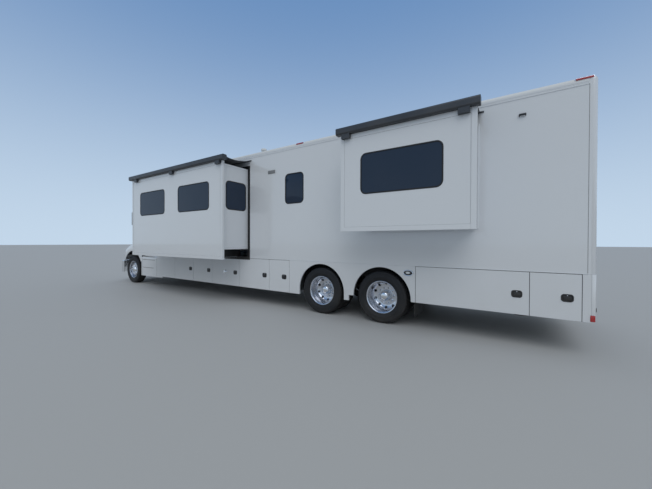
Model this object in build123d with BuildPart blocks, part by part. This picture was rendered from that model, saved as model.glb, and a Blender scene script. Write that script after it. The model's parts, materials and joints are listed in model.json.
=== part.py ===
from build123d import *

import os
from collections import namedtuple
from math import hypot, sqrt

# Motorhome: a coach body on a three-axle conventional truck chassis.
# Millimetres. +X is forward, +Y the driver's side, +Z up, and the ground is Z = 0.
# A station is a distance forward from the coach's rear face.
# Side distances are measured from the coach's centre plane.

# Whole vehicle
half_width = 1295
wall = 50
fit = 0.3
seam = 6

# Heights of the coach
floor_bottom = 1040
floor_top = 1090
wall_foot = 1080
roof_top = 3655
roof_depth = 90
roof_bottom = roof_top - roof_depth
roof_edge_radius = 60
rear_skirt_foot = 460
mid_skirt_foot = 355
fairing_foot = 315
skirt_wall = 35

# Lengths of the coach, forward from its rear face
rear_cap_depth = 90
corner_radius = 60
bulkhead_depth = 50
rear_axle_station = 2937
tandem_spacing = 1320
arch_panel_behind = 633
arch_panel_ahead = 843
bay_widths = (610, 1040, 1100, 860, 980)
plain_panel = 750
fairing_lap = 310
drive_stations = (rear_axle_station, rear_axle_station + tandem_spacing)
arch_panel_start = rear_axle_station - arch_panel_behind
arch_panel_end = drive_stations[1] + arch_panel_ahead
bays_end = arch_panel_end + sum(bay_widths)
fairing_start = bays_end + plain_panel
coach_length = fairing_start + fairing_lap

# Lengths of the cab and the hood, forward from the coach's front
door_setback = 80
door_width = 870
fairing_past_door = 80
header_reach = 790
cowl_reach = 1340
front_axle_reach = 1707
nose_reach = 1063
hood_pivot_reach = 40
bumper_reach = 180
door_start = coach_length + door_setback
door_end = door_start + door_width
fairing_end = door_end + fairing_past_door
header_station = coach_length + header_reach
cowl_station = coach_length + cowl_reach
front_axle_station = coach_length + front_axle_reach
bonnet_front = front_axle_station + nose_reach
hood_pivot_station = bonnet_front + hood_pivot_reach
bumper_station = bonnet_front + bumper_reach

# Chassis
rail_half = 430
rail_foot = 740
rail_top = 1000
rail_flange = 80
rail_web = 8
rail_start = 60
rail_end = bumper_station - 270
bracket_plate = 12
crossmember_depth = 160
sleeper_half = 530
jack_side = 480
receiver_reach = 60
receiver_size = 76
receiver_bore = 51
receiver_height = 430
receiver_pin_radius = 7.94
receiver_pin_setback = 63

# Axles and wheels
hub_height = 480
tyre_radius = 480
tyre_width = 280
tyre_inset = 20
dual_spacing = 340
bead_radius = 286
flange_radius = 298.5
bead_half = 104
rim_half = 116
barrel_wall = 14
spindle_radius = 45
spindle_clearance = 0.4
kingpin_side = 930
kingpin_radius = 22
hand_holes = 10
shaft_gap = 2.5

# Windows of the coach
window_foot = 2242
window_top = 2892
window_corner = 90
pane_depth = 24

# Cab
cab_half = 1150
cab_wall = 45
cab_foot = 1010
cab_roof = 2735
cowl_height = 1740
header_height = 2640
door_foot = 1035
door_top = 2560
door_sill = 1720
door_border = 90
pillar_run = 105
glass_thickness = 6
windshield_half = 985
windshield_height = 840

# Hood
hood_wall = 40
hood_gap = 8
hood_foot = 790
fender_start = door_end + 100
hood_pivot_height = 840
hood_pin_radius = 12
arch_radius = 670
bonnet_rear_half = 1040
bonnet_nose_half = 560
bonnet_rear_top = 1800
fender_side = 1280

# Nose of the hood
grille_half = 415
grille_foot = 895
grille_top = 1400
grille_depth = 38
grille_bars = 9
lens_depth = 8
lens_inner = 600
lens_foot = 1010
lens_top = 1190

# Front bumper
bumper_half = 1270
bumper_foot = 350
bumper_top = 770
bumper_wall = 30

# Roof and side fittings
air_length = 1020
air_width = 720
air_height = 320
air_stations = (2200, 5600, coach_length - 1850)
awning_depth = 130
awning_height = 170
awning_top = roof_bottom - 25
tail_lamp_foot = 1180
tail_lamp_height = 240
upper_lamp_height = 160
lamp_gap = 20
roof_marker_drop = 120
roof_marker_height = 35
side_lamp_station = 2429
side_lamp_height = 960
side_lamp_length = 186
side_lamp_width = 112

# Mirrors
mirror_side = 1520
mirror_station = door_end + 130

Slide = namedtuple("Slide", "name start end foot top reach opening_foot box_foot window_foot windows "
                   "topper_behind topper_ahead brackets")
# windows holds the start and end of each pane in the face, brackets the place of each hanger, all measured
# from the slide's own start; topper_behind and topper_ahead are how far the topper laps the face's ends
slides = (
    Slide("slide_front", coach_length - 4375, coach_length - 150, 1086, roof_bottom - 255, 790, 1105, 1310,
          2242, ((498, 1775), (2425, 3730)), 85, 60, (125, 2025, 3905)),
    Slide("slide_rear", 1312, 3400, 1670, roof_bottom - 265, 660, 1705, 1725, 2283,
          ((431, 1704),), 42, 60, (158, 1968)),
)
face_depth = 50
face_overlap = 45
box_wall = 45
box_clearance = 20
opening_drop = 15
box_tail = 105
end_window_near = 68
end_window_far = 647
topper_height = 120
topper_proud = 80
bracket_width = 150
bracket_drop = 75
runner_width = 90
runner_inset = 500

# Bay doors, each hinged on its forward edge; side is +1 on the driver's side
BayDoor = namedtuple("BayDoor", "name side start end foot")
corner_end = 142
rear_bay_split = 706
right_bay_width = 1600
bay_doors = [
    BayDoor("bay_door_left_1", 1, corner_end, rear_bay_split, rear_skirt_foot),
    BayDoor("bay_door_left_2", 1, rear_bay_split, arch_panel_start, rear_skirt_foot),
]
bay_start = arch_panel_end
for number, width in enumerate(bay_widths, start=3):
    bay_doors.append(BayDoor(f"bay_door_left_{number}", 1, bay_start, bay_start + width, mid_skirt_foot))
    bay_start += width
right_bay_end = arch_panel_end + right_bay_width
bay_doors += [
    BayDoor("bay_door_right_1", -1, rear_bay_split, arch_panel_start, rear_skirt_foot),
    BayDoor("bay_door_right_2", -1, arch_panel_end, right_bay_end, mid_skirt_foot),
]
bay_door_top = 1074
bay_inner = 540
bay_sheet = 20
jamb_width = 60
bay_lap = 20
bays = (
    # side, start, end, foot
    (1, 100, arch_panel_start + bay_lap, rear_skirt_foot),
    (-1, 100, arch_panel_start + bay_lap, rear_skirt_foot),
    (1, arch_panel_end - bay_lap, bays_end + bay_lap, mid_skirt_foot),
    (-1, arch_panel_end - bay_lap, right_bay_end + bay_lap, mid_skirt_foot),
)

# Entry door on the passenger side
entry_start = coach_length - 1250
entry_end = entry_start + 760
entry_foot = 560
entry_top = 2640
entry_depth = 45
step_heights = (560, 830)
step_rises = 270
step_tread = 250

# Worked out from the sizes above
rear = receiver_reach - (receiver_reach + bumper_station) / 2
front_slide = slides[0]
left_reach = half_width + front_slide.reach + topper_proud
mid_y = (mirror_side - left_reach) / 2
outer_tyre_side = half_width - tyre_inset - tyre_width / 2
inner_tyre_side = outer_tyre_side - dual_spacing


def at(station):
    """X of a station measured forward from the coach's rear face."""
    return rear + station


def side(y):
    """Plane facing the passenger's side, with X along the vehicle and Y up."""
    return Plane(origin=(0, mid_y + y, 0), x_dir=(1, 0, 0), z_dir=(0, -1, 0))


def cross(station):
    """Plane across the vehicle, facing forward, with X to the driver's side and Y up."""
    return Plane(origin=(at(station), mid_y, 0), x_dir=(0, 1, 0), z_dir=(1, 0, 0))


def level(z):
    """Level plane at a height."""
    return Plane(origin=(0, mid_y, z))


def block(start, end, y0, y1, z0, z1, mode=Mode.ADD):
    """Box between two stations, two side distances and two heights."""
    with Locations((at((start + end) / 2), mid_y + (y0 + y1) / 2, (z0 + z1) / 2)):
        Box(abs(end - start), abs(y1 - y0), abs(z1 - z0), mode=mode)


def rod_across(station, z, radius, y0, y1, mode=Mode.ADD):
    """Round bar across the vehicle."""
    with Locations((at(station), mid_y + (y0 + y1) / 2, z)):
        Cylinder(radius, abs(y1 - y0), rotation=(90, 0, 0), mode=mode)


def rod_up(station, y, radius, z0, z1, mode=Mode.ADD):
    """Upright round bar."""
    with Locations((at(station), mid_y + y, (z0 + z1) / 2)):
        Cylinder(radius, abs(z1 - z0), mode=mode)


def rod_along(start, end, y, z, radius, mode=Mode.ADD):
    """Round bar along the vehicle."""
    with Locations((at((start + end) / 2), mid_y + y, z)):
        Cylinder(radius, abs(end - start), rotation=(0, 90, 0), mode=mode)


def pane(start, end, foot, top, corner, plane):
    """Rounded rectangle on a side plane, between two stations and two heights."""
    with BuildSketch(plane, mode=Mode.PRIVATE) as outline:
        with Locations((at((start + end) / 2), (foot + top) / 2)):
            RectangleRounded(end - start, top - foot, corner)
    return outline.sketch


def outline(points, plane):
    """Closed outline with straight edges on a plane."""
    with BuildSketch(plane, mode=Mode.PRIVATE) as drawn:
        with BuildLine():
            Polyline(*points, close=True)
        make_face()
    return drawn.sketch


def write(name, piece):
    """Label a finished piece and write it to its own file."""
    piece.label = name
    export_step(piece, f"parts/{name}.step")


os.makedirs("parts", exist_ok=True)

# Engine and gearbox, one plain block each, joined
engine_start = cowl_station + 10
engine_end = engine_start + 1050
engine_foot = rail_foot + 60
gearbox_start = engine_start - 850
gearbox_axis = 760
with BuildPart() as engine:
    block(engine_start, engine_end, -340, 340, engine_foot, 1500)
    block(gearbox_start, engine_start, -230, 230, 620, 990)
write("engine", engine.part)

# Chassis frame: two channel rails, crossmembers, sleepers, tow receiver and levelling jacks
crossmembers = (300, 1500, 2300, 3600, 4900, 6300, 7700, coach_length - 1650, coach_length - 350,
                bumper_station - 400)
sleepers = (300, 1900, 3600, 5400, 7200, coach_length - 1750, coach_length - 450)
jacks = (800, arch_panel_end + 200)
engine_rests = (engine_start + 100, engine_end - 200)
cab_rests = (door_start + 170, door_end - 50)
crossmember_top = rail_top - 40
crossmember_foot = crossmember_top - crossmember_depth
web_in = rail_half - rail_web - fit
plate_in = rail_half + fit
plate_out = rail_half + bracket_plate
bar_foot = receiver_height - receiver_size / 2
bar_top = receiver_height + receiver_size / 2

with BuildPart() as chassis_frame:
    for hand in (1, -1):
        outer = hand * rail_half
        lip = hand * (rail_half - rail_flange)
        block(rail_start, rail_end, hand * (rail_half - rail_web), outer, rail_foot, rail_top)
        block(rail_start, rail_end, lip, outer, rail_foot, rail_foot + rail_web)
        block(rail_start, rail_end, lip, outer, rail_top - rail_web, rail_top)
        block(rail_start, 460, hand * plate_in, hand * plate_out, bar_foot, rail_top)
        for station in jacks:
            rod_up(station, hand * jack_side, 45, 420, rail_top - 60)
            rod_up(station, hand * jack_side, 30, 315, 420)
            rod_up(station, hand * jack_side, 110, 300, 315)
            block(station - 60, station + 60, hand * plate_in, hand * jack_side, 700, 900)
        block(hood_pivot_station - 180, hood_pivot_station + 30, hand * plate_in, hand * plate_out, 780, 870)
        rod_across(hood_pivot_station, hood_pivot_height, hood_pin_radius, hand * plate_in, hand * 494)
    for station in crossmembers:
        block(station - 50, station + 50, -web_in, web_in, crossmember_foot, crossmember_top)
    for station in sleepers:
        block(station - 40, station + 40, -sleeper_half, sleeper_half, rail_top + fit, floor_bottom)
    for station in engine_rests:
        block(station - 40, station + 40, -web_in, web_in, rail_foot + rail_web + fit, engine_foot)
    for station in cab_rests:
        block(station - 40, station + 40, -rail_half - 60, rail_half + 60, rail_top + fit, cab_foot)
    block(100, 180, -rail_half, rail_half, bar_foot, bar_top)
    block(-receiver_reach, 300, -receiver_size / 2, receiver_size / 2, bar_foot, bar_top)
    bore_half = receiver_bore / 2
    block(-receiver_reach, 240, -bore_half, bore_half, receiver_height - bore_half,
          receiver_height + bore_half, Mode.SUBTRACT)
    pin_station = receiver_pin_setback - receiver_reach
    rod_across(pin_station, receiver_height, receiver_pin_radius, -receiver_size, receiver_size,
               Mode.SUBTRACT)
write("chassis_frame", chassis_frame.part)

# Drive axles: two axle tubes with their final drives and air springs, and the drive shafts between them
final_drive_radius = 190
with BuildPart() as drive_axles:
    for station in drive_stations:
        rod_across(station, hub_height, 70, -620, 620)
        rod_across(station, hub_height, spindle_radius, -1060, 1060)
        with Locations((at(station), mid_y, hub_height)):
            Sphere(final_drive_radius)
        for hand in (1, -1):
            block(station - 70, station + 70, hand * 330, hand * 470, hub_height, 570)
            rod_up(station, hand * 400, 110, 570, rail_foot)
    shaft_end_gap = final_drive_radius + fit
    rod_along(rear_axle_station + shaft_end_gap, drive_stations[1] - shaft_end_gap, 0, hub_height, 45)
    drive_centre = Vector(at(drive_stations[1]), mid_y, hub_height)
    shaft_run = Vector(at(gearbox_start), mid_y, gearbox_axis) - drive_centre
    shaft_start = drive_centre + shaft_run.normalized() * shaft_end_gap
    with BuildSketch(Plane(origin=shaft_start, z_dir=shaft_run)):
        Circle(50)
    extrude(amount=shaft_run.length - shaft_end_gap - shaft_gap)
write("drive_axles", drive_axles.part)

# Front axle: beam, king pin eyes and leaf springs
spring_start = front_axle_station - 657
spring_end = front_axle_station + 693
spring_end_length = 70
with BuildPart() as front_axle:
    block(front_axle_station - 50, front_axle_station + 50, -885, 885, 440, 520)
    for hand in (1, -1):
        rod_up(front_axle_station, hand * kingpin_side, 48, 432, 528)
        rod_up(front_axle_station, hand * kingpin_side, kingpin_radius, 400, 560, Mode.SUBTRACT)
        spring_in = hand * 350
        spring_out = hand * rail_half
        block(spring_start, spring_end, spring_in, spring_out, 640, 680)
        block(front_axle_station - 50, front_axle_station + 50, spring_in, spring_out, 520, 640)
        block(spring_start, spring_start + spring_end_length, spring_in, spring_out, 680, rail_foot)
        block(spring_end - spring_end_length, spring_end, spring_in, spring_out, 680, rail_foot)
write("front_axle", front_axle.part)


def knuckle(name, hand):
    """Steering knuckle with its king pin and wheel spindle."""
    arm_in = hand * (kingpin_side - 50)
    arm_out = hand * (kingpin_side + 90)
    with BuildPart() as piece:
        block(front_axle_station - 50, front_axle_station + 50, arm_in, arm_out, 528.5, 572)
        block(front_axle_station - 50, front_axle_station + 50, arm_in, arm_out, 388, 431.5)
        block(front_axle_station - 50, front_axle_station + 50, hand * (kingpin_side + 56), arm_out, 388, 572)
        rod_up(front_axle_station, hand * kingpin_side, kingpin_radius - fit, 400, 560)
        rod_across(front_axle_station, hub_height, spindle_radius, arm_out, hand * 1150)
    write(name, piece.part)


knuckle("knuckle_left", 1)
knuckle("knuckle_right", -1)

# Tyre outline: axial distance from the tyre's middle, radius
shoulder_half = 112
tyre_points = (
    (-bead_half, bead_radius + fit),
    (-bead_half, flange_radius + 2),
    (-tyre_width / 2, 372),
    (-tyre_width / 2 + 4, 430),
    (-shoulder_half, tyre_radius - 9),
    (-shoulder_half + 16, tyre_radius),
    (shoulder_half - 16, tyre_radius),
    (shoulder_half, tyre_radius - 9),
    (tyre_width / 2 - 4, 430),
    (tyre_width / 2, 372),
    (bead_half, flange_radius + 2),
    (bead_half, bead_radius + fit),
)


def tyres(name, station, centres):
    """One tyre, or twin tyres, as rings about the hub's axis."""
    with BuildPart() as piece:
        for centre in centres:
            ring = outline([(centre + a, hub_height + r) for a, r in tyre_points], cross(station))
            revolve(ring, axis=Axis((at(station), mid_y, hub_height), (0, 1, 0)))
    write(name, piece.part)


def barrel(centre, hand):
    """Rim barrel with its two flanges, as an outline right round the section."""
    points = (
        (-rim_half, bead_radius - barrel_wall),
        (-rim_half, flange_radius),
        (-bead_half - 1, flange_radius),
        (-bead_half - 1, bead_radius),
        (bead_half + 1, bead_radius),
        (bead_half + 1, flange_radius),
        (rim_half, flange_radius),
        (rim_half, bead_radius - barrel_wall),
    )
    return [(centre + hand * a, hub_height + r) for a, r in points]


def wheel(name, station, hand, sections, hub, hole_side, hole_ring, hole_radius):
    """Rim turned from its sections, with a bored hub and a ring of hand holes."""
    axis = Axis((at(station), mid_y, hub_height), (0, 1, 0))
    with BuildPart() as piece:
        for points in sections:
            revolve(outline(points, cross(station)), axis=axis)
        hub_in, hub_out, hub_radius, bore_end = hub
        rod_across(station, hub_height, hub_radius, hand * hub_in, hand * hub_out)
        rod_across(station, hub_height, spindle_radius + spindle_clearance, hand * hub_in, hand * bore_end,
                   Mode.SUBTRACT)
        hole_plane = Plane(origin=(at(station), mid_y + hand * hole_side, hub_height), z_dir=(0, hand, 0))
        with BuildSketch(hole_plane):
            with PolarLocations(hole_ring, hand_holes):
                Circle(hole_radius)
        extrude(amount=60, both=True, mode=Mode.SUBTRACT)
    write(name, piece.part)


# Rear wheels: twin tyres on twin deep dished rims that meet at their mounting faces
mount_side = (outer_tyre_side + inner_tyre_side) / 2
for number, station in enumerate(drive_stations, start=1):
    for hand, hand_name in ((1, "left"), (-1, "right")):
        tyres(f"tyre_rear_{number}_{hand_name}", station, (hand * outer_tyre_side, hand * inner_tyre_side))
        dish = [
            (hand * (mount_side + 10), hub_height + 60),
            (hand * (mount_side + 10), hub_height + 190),
            (hand * (outer_tyre_side - rim_half + 20), hub_height + bead_radius - barrel_wall + 2),
            (hand * (outer_tyre_side - rim_half + 44), hub_height + bead_radius - barrel_wall + 2),
            (hand * (mount_side + 28), hub_height + 184),
            (hand * (mount_side + 28), hub_height + 60),
        ]
        inner_dish = [(2 * hand * mount_side - a, z) for a, z in dish]
        spacer = [
            (hand * (mount_side - 12), hub_height + 60),
            (hand * (mount_side - 12), hub_height + 170),
            (hand * (mount_side + 12), hub_height + 170),
            (hand * (mount_side + 12), hub_height + 60),
        ]
        wheel(
            f"wheel_rear_{number}_{hand_name}",
            station,
            hand,
            (
                barrel(hand * outer_tyre_side, hand),
                barrel(hand * inner_tyre_side, hand),
                dish,
                inner_dish,
                spacer,
            ),
            (640, outer_tyre_side + 20, 105, 1070),
            mount_side,
            228,
            25,
        )

# Front wheels: single tyres on rims whose disc bulges outward
for hand, hand_name in ((1, "left"), (-1, "right")):
    tyres(f"tyre_front_{hand_name}", front_axle_station, (hand * outer_tyre_side,))
    disc_side = outer_tyre_side + 62
    disc = [
        (hand * (disc_side + 10), hub_height + 60),
        (hand * (disc_side + 10), hub_height + 180),
        (hand * (outer_tyre_side + 40), hub_height + bead_radius - barrel_wall + 2),
        (hand * (outer_tyre_side + 16), hub_height + bead_radius - barrel_wall + 2),
        (hand * (disc_side - 12), hub_height + 174),
        (hand * (disc_side - 12), hub_height + 60),
    ]
    wheel(
        f"wheel_front_{hand_name}",
        front_axle_station,
        hand,
        (barrel(hand * outer_tyre_side, hand), disc),
        (1040, outer_tyre_side + 105, 105, 1160),
        disc_side,
        222,
        25,
    )

# Storage bays: open trays that hang from the floor behind the bay doors
door_line = half_width - skirt_wall - fit
with BuildPart() as storage_bays:
    for hand, start, end, foot in bays:
        block(start, end, hand * bay_inner, hand * door_line, foot + 10, foot + 10 + bay_sheet)
        block(start, end, hand * bay_inner, hand * (bay_inner + bay_sheet), foot + 10, floor_bottom)
        for station in (start, end - bay_sheet):
            block(station, station + bay_sheet, hand * bay_inner, hand * door_line, foot + 10, floor_bottom)
        block(start, end, hand * (door_line - 25), hand * door_line, floor_bottom - 40, floor_bottom)
        for door in bay_doors:
            if door.side == hand and start < door.start and door.end < end:
                for station in (door.start, door.end):
                    block(max(station - jamb_width / 2, start), station + jamb_width / 2 - bay_sheet,
                          hand * (door_line - 30), hand * door_line, foot + 10, floor_bottom)
    entry_in = half_width - entry_depth - fit
    block(entry_start - 60, entry_start + 20, -bay_inner, -entry_in, entry_foot - 40, floor_bottom)
    block(entry_end - 20, entry_end + 60, -bay_inner, -entry_in, entry_foot - 40, floor_bottom)
    for number, height in enumerate(step_heights):
        inner = entry_in - step_tread * (number + 1)
        block(entry_start - 60, entry_end + 60, -inner - step_tread, -inner, height - 40, height)
        block(entry_start - 60, entry_end + 60, -inner - 20, -inner, height - 40,
              min(height + step_rises, floor_bottom))
write("storage_bays", storage_bays.part)

# Floor of the coach, notched for the entry steps
floor_half = half_width - wall
stair_inner = entry_in - step_tread * len(step_heights)
with BuildPart() as floor:
    block(rear_cap_depth, coach_length - bulkhead_depth, -floor_half, floor_half, floor_bottom, floor_top)
    block(entry_start - 60, entry_end + 60, -floor_half - 1, -stair_inner - 20, floor_bottom, floor_top,
          Mode.SUBTRACT)
write("floor", floor.part)

# Side walls
wall_start = rear_cap_depth
wall_end = coach_length - bulkhead_depth
small_window = (arch_panel_end - 384, arch_panel_end + 118, 2345, 3000)
with BuildPart() as left_wall:
    block(wall_start, wall_end, half_width - wall, half_width, wall_foot, roof_bottom)
    for slide in slides:
        block(slide.start + face_overlap, slide.end - face_overlap, half_width - 2 * wall, half_width + wall,
              slide.opening_foot, slide.top - opening_drop, Mode.SUBTRACT)
    extrude(pane(*small_window, window_corner, side(half_width)), amount=wall, mode=Mode.SUBTRACT)
write("left_wall", left_wall.part)

right_window_length = 1270
right_window_starts = (1500, coach_length - 6050, coach_length - 3850)
right_windows = [
    (start, start + right_window_length, window_foot, window_top) for start in right_window_starts
]
with BuildPart() as right_wall:
    block(wall_start, wall_end, wall - half_width, -half_width, wall_foot, roof_bottom)
    for window in right_windows:
        extrude(pane(*window, window_corner, side(wall - half_width)), amount=wall, mode=Mode.SUBTRACT)
    block(entry_start - seam, entry_end + seam, 2 * wall - half_width, -half_width - wall, 0,
          entry_top + seam, Mode.SUBTRACT)
    for start, end in ((entry_start - 40, entry_start + 25), (entry_end - 25, entry_end + 40)):
        block(start, end, -entry_in, 25 - entry_in, floor_top, entry_top + 40)
    block(entry_start - 40, entry_end + 40, -entry_in, 25 - entry_in, entry_top - 25, entry_top + 40)
write("right_wall", right_wall.part)

# Roof with rounded long edges
with BuildPart() as roof:
    block(rear_cap_depth, coach_length, -half_width, half_width, roof_bottom, roof_top)
    long_edges = roof.edges().filter_by(Axis.X).group_by(Axis.Z)[-1]
    fillet(long_edges, roof_edge_radius)
write("roof", roof.part)

# Rear cap with rounded corners
with BuildPart() as rear_wall:
    block(0, rear_cap_depth, -half_width, half_width, wall_foot, roof_top)
    upright = rear_wall.edges().filter_by(Axis.Z).group_by(Axis.X)[0]
    fillet(upright, corner_radius)
    crown = rear_wall.edges().filter_by(Axis.X).group_by(Axis.Z)[-1]
    fillet(crown, roof_edge_radius)
write("rear_wall", rear_wall.part)

# Nose cap over the cab, with the bulkhead that the cab is sealed to
cap_foot = cab_roof
cap_tip = coach_length + 1270
cap_shell = 40
cap_rise = roof_top - cap_foot + 280
passage_half = 780
passage_top = 2500


def cap_form(inset):
    """Side outline of the cap, drawn in by a wall."""
    back = bulkhead_depth if inset == 0 else 0
    return outline(
        (
            (at(coach_length - back), cap_foot + inset),
            (at(cap_tip - 110 - inset), cap_foot + inset),
            (at(cap_tip - inset), cap_foot + 120 + inset / 2),
            (at(cap_tip - 60 - inset), cap_foot + 380),
            (at(cap_tip - 420 - inset), roof_top - 110 - inset),
            (at(cap_tip - 700 - inset / 2), roof_top - inset),
            (at(coach_length - back), roof_top - inset),
        ),
        side(half_width - inset),
    )


def cap_plan(inset):
    """Plan outline of the cap, drawn in by a wall."""
    edge = half_width - inset
    with BuildSketch(level(cap_foot - 50), mode=Mode.PRIVATE) as plan:
        with BuildLine():
            Polyline((at(cap_tip - 620), edge), (at(coach_length - 100), edge),
                     (at(coach_length - 100), -edge), (at(cap_tip - 620), -edge))
            ThreePointArc((at(cap_tip - 620), -edge), (at(cap_tip - 200 - inset), -edge * 0.78),
                          (at(cap_tip - 30 - inset), -edge * 0.45))
            ThreePointArc((at(cap_tip - 30 - inset), -edge * 0.45), (at(cap_tip - inset + 10), 0),
                          (at(cap_tip - 30 - inset), edge * 0.45))
            ThreePointArc((at(cap_tip - 30 - inset), edge * 0.45), (at(cap_tip - 200 - inset), edge * 0.78),
                          (at(cap_tip - 620), edge))
        make_face()
    return plan.sketch


with BuildPart() as cap_inside:
    extrude(cap_form(cap_shell), amount=2 * (half_width - cap_shell))
    extrude(cap_plan(cap_shell), amount=cap_rise, mode=Mode.INTERSECT)

with BuildPart() as nose_cap:
    extrude(cap_form(0), amount=2 * half_width)
    extrude(cap_plan(0), amount=cap_rise, mode=Mode.INTERSECT)
    block(coach_length - bulkhead_depth, coach_length, -half_width, half_width, roof_bottom, roof_top + 100,
          Mode.SUBTRACT)
    add(cap_inside.part, mode=Mode.SUBTRACT)
    block(coach_length - bulkhead_depth, coach_length, -half_width, half_width, wall_foot,
          cap_foot + cap_shell)
    block(coach_length - 2 * bulkhead_depth, coach_length + 1, -passage_half, passage_half, floor_top,
          passage_top, Mode.SUBTRACT)
    block(coach_length - 2 * bulkhead_depth, coach_length + 1, cap_shell - half_width, half_width - cap_shell,
          cap_foot + cap_shell, roof_bottom, Mode.SUBTRACT)
write("nose_cap", nose_cap.part)

# Skirt panels: rear valance, wheel arch panels and the fixed panels with the cab fairings
rear_arch_radius = 555


def skirt_outline(hand, start, end, stations):
    """Side outline of a fixed skirt panel, its foot stepping at each (station, height)."""
    points = [(at(start), wall_foot), (at(start), stations[0][1])]
    for station, height in stations[1:]:
        points.append((at(station), points[-1][1]))
        points.append((at(station), height))
    points += [(at(end), points[-1][1]), (at(end), wall_foot)]
    return outline(points, side(half_width if hand > 0 else skirt_wall - half_width))


middle_station = (drive_stations[0] + drive_stations[1]) / 2
with BuildPart() as valance:
    block(0, 50, -half_width, half_width, 475, wall_foot)
    fillet(valance.edges().filter_by(Axis.Z).group_by(Axis.X)[0], 45)

with BuildPart() as skirt_panels:
    add(valance.part)
    for hand in (1, -1):
        skin_in = hand * (half_width - skirt_wall)
        skin_out = hand * half_width
        corner_front = corner_end if hand > 0 else rear_bay_split
        block(50 + fit, corner_front - seam / 2, skin_in, skin_out, rear_skirt_foot, wall_foot)
        arch_panel = skirt_outline(hand, arch_panel_start + seam / 2, arch_panel_end - seam / 2,
                                   ((arch_panel_start, rear_skirt_foot), (middle_station, mid_skirt_foot)))
        extrude(arch_panel, amount=skirt_wall)
        for station in drive_stations:
            arch_in = hand * (half_width - 2 * skirt_wall)
            arch_out = hand * (half_width + skirt_wall)
            rod_across(station, hub_height, rear_arch_radius, arch_in, arch_out, Mode.SUBTRACT)
            block(station - rear_arch_radius, station + rear_arch_radius, arch_in, arch_out, 0, hub_height,
                  Mode.SUBTRACT)
    left_in = half_width - skirt_wall
    block(bays_end + seam / 2, fairing_start - fit, left_in, half_width, mid_skirt_foot, wall_foot)
    entry_back = entry_start - seam
    entry_front = entry_end + seam
    block(right_bay_end + seam / 2, entry_back - fit, -left_in, -half_width, mid_skirt_foot, wall_foot)
    block(entry_back, entry_front, -left_in, -half_width, mid_skirt_foot, entry_foot - seam)
    block(entry_front + fit, fairing_start - fit, -left_in, -half_width, mid_skirt_foot, wall_foot)
    for hand in (1, -1):
        fairing = outline(
            (
                (at(fairing_start), wall_foot),
                (at(fairing_start), fairing_foot),
                (at(fairing_end), fairing_foot),
                (at(fairing_end), 940),
                (at(coach_length), 880),
                (at(coach_length), wall_foot),
            ),
            side(half_width if hand > 0 else skirt_wall - half_width),
        )
        extrude(fairing, amount=skirt_wall)
        for station in (fairing_start + 60, fairing_end - 60):
            block(station - 20, station + 20, hand * plate_in, hand * (left_in - fit), fairing_foot + 40,
                  rail_foot + 60)
write("skirt_panels", skirt_panels.part)

# Cab shell: hollow, with door openings, windshield opening and an open back
slope_run = cowl_station - header_station
slope_rise = header_height - cowl_height
slope_plane = Plane(
    origin=(at((cowl_station + header_station) / 2), mid_y, (cowl_height + header_height) / 2),
    x_dir=(0, 1, 0),
    z_dir=(slope_rise, 0, slope_run),
)
cab_front_radius = hypot(hood_pivot_station - cowl_station, cowl_height - hood_pivot_height)
front_middle = (cab_foot + cowl_height) / 2
door_jamb = 25


def swing_station(radius, height):
    """Station behind the hood's pivot of the point at a height on a circle about that pivot."""
    return hood_pivot_station - sqrt(radius**2 - (height - hood_pivot_height)**2)


def cab_outline(inset):
    """Side outline of the cab, drawn in by its wall; its front is an arc about the hood's pivot."""
    foot = cab_foot + inset
    radius = cab_front_radius + inset
    back = coach_length - (1 if inset else 0)
    front_foot = (at(swing_station(radius, foot)), foot)
    front_top = (at(swing_station(radius, cowl_height)), cowl_height)
    with BuildSketch(side(cab_half - inset), mode=Mode.PRIVATE) as drawn:
        with BuildLine():
            ThreePointArc(front_foot, (at(swing_station(radius, front_middle)), front_middle), front_top)
            Polyline(
                front_top,
                (at(header_station - 0.9 * inset), header_height - 0.9 * inset),
                (at(header_station - 190 - inset / 3), cab_roof - inset),
                (at(back), cab_roof - inset),
                (at(back), foot),
                front_foot,
            )
        make_face()
    return drawn.sketch


def door_outline(grow, foot, corner, plane):
    """Side outline of a cab door, its upper front edge sloped behind the windshield pillar."""
    lean = slope_run / slope_rise
    reach = cowl_station - pillar_run + lean * cowl_height + grow * hypot(1, lean)
    with BuildSketch(plane, mode=Mode.PRIVATE) as drawn:
        with BuildLine():
            Polyline(
                (at(door_start - grow), foot),
                (at(door_end + grow), foot),
                (at(door_end + grow), (reach - door_end - grow) / lean),
                (at(reach - lean * (door_top + grow)), door_top + grow),
                (at(door_start - grow), door_top + grow),
                close=True,
            )
        make_face()
        if corner:
            fillet(drawn.vertices(), corner)
    return drawn.sketch


with BuildPart() as cab_shell:
    extrude(cab_outline(0), amount=2 * cab_half)
    extrude(cab_outline(cab_wall), amount=2 * (cab_half - cab_wall), mode=Mode.SUBTRACT)
    with BuildSketch(slope_plane):
        RectangleRounded(2 * windshield_half, windshield_height, 80)
    extrude(amount=80, both=True, mode=Mode.SUBTRACT)
    for hand in (1, -1):
        opening_side = cab_half + 10 if hand > 0 else cab_wall + 10 - cab_half
        extrude(door_outline(seam, door_foot - seam, 0, side(opening_side)), amount=cab_wall + 20,
                mode=Mode.SUBTRACT)
        frame_side = cab_half - cab_wall - fit if hand > 0 else cab_wall + 20 - cab_half
        frame_plane = side(frame_side)
        frame_outer = door_outline(50, cab_foot, 0, frame_plane)
        frame_inner = door_outline(-door_jamb, door_foot + door_jamb, 0, frame_plane)
        extrude(frame_outer - frame_inner, amount=20 - fit)
write("cab_shell", cab_shell.part)

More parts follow.
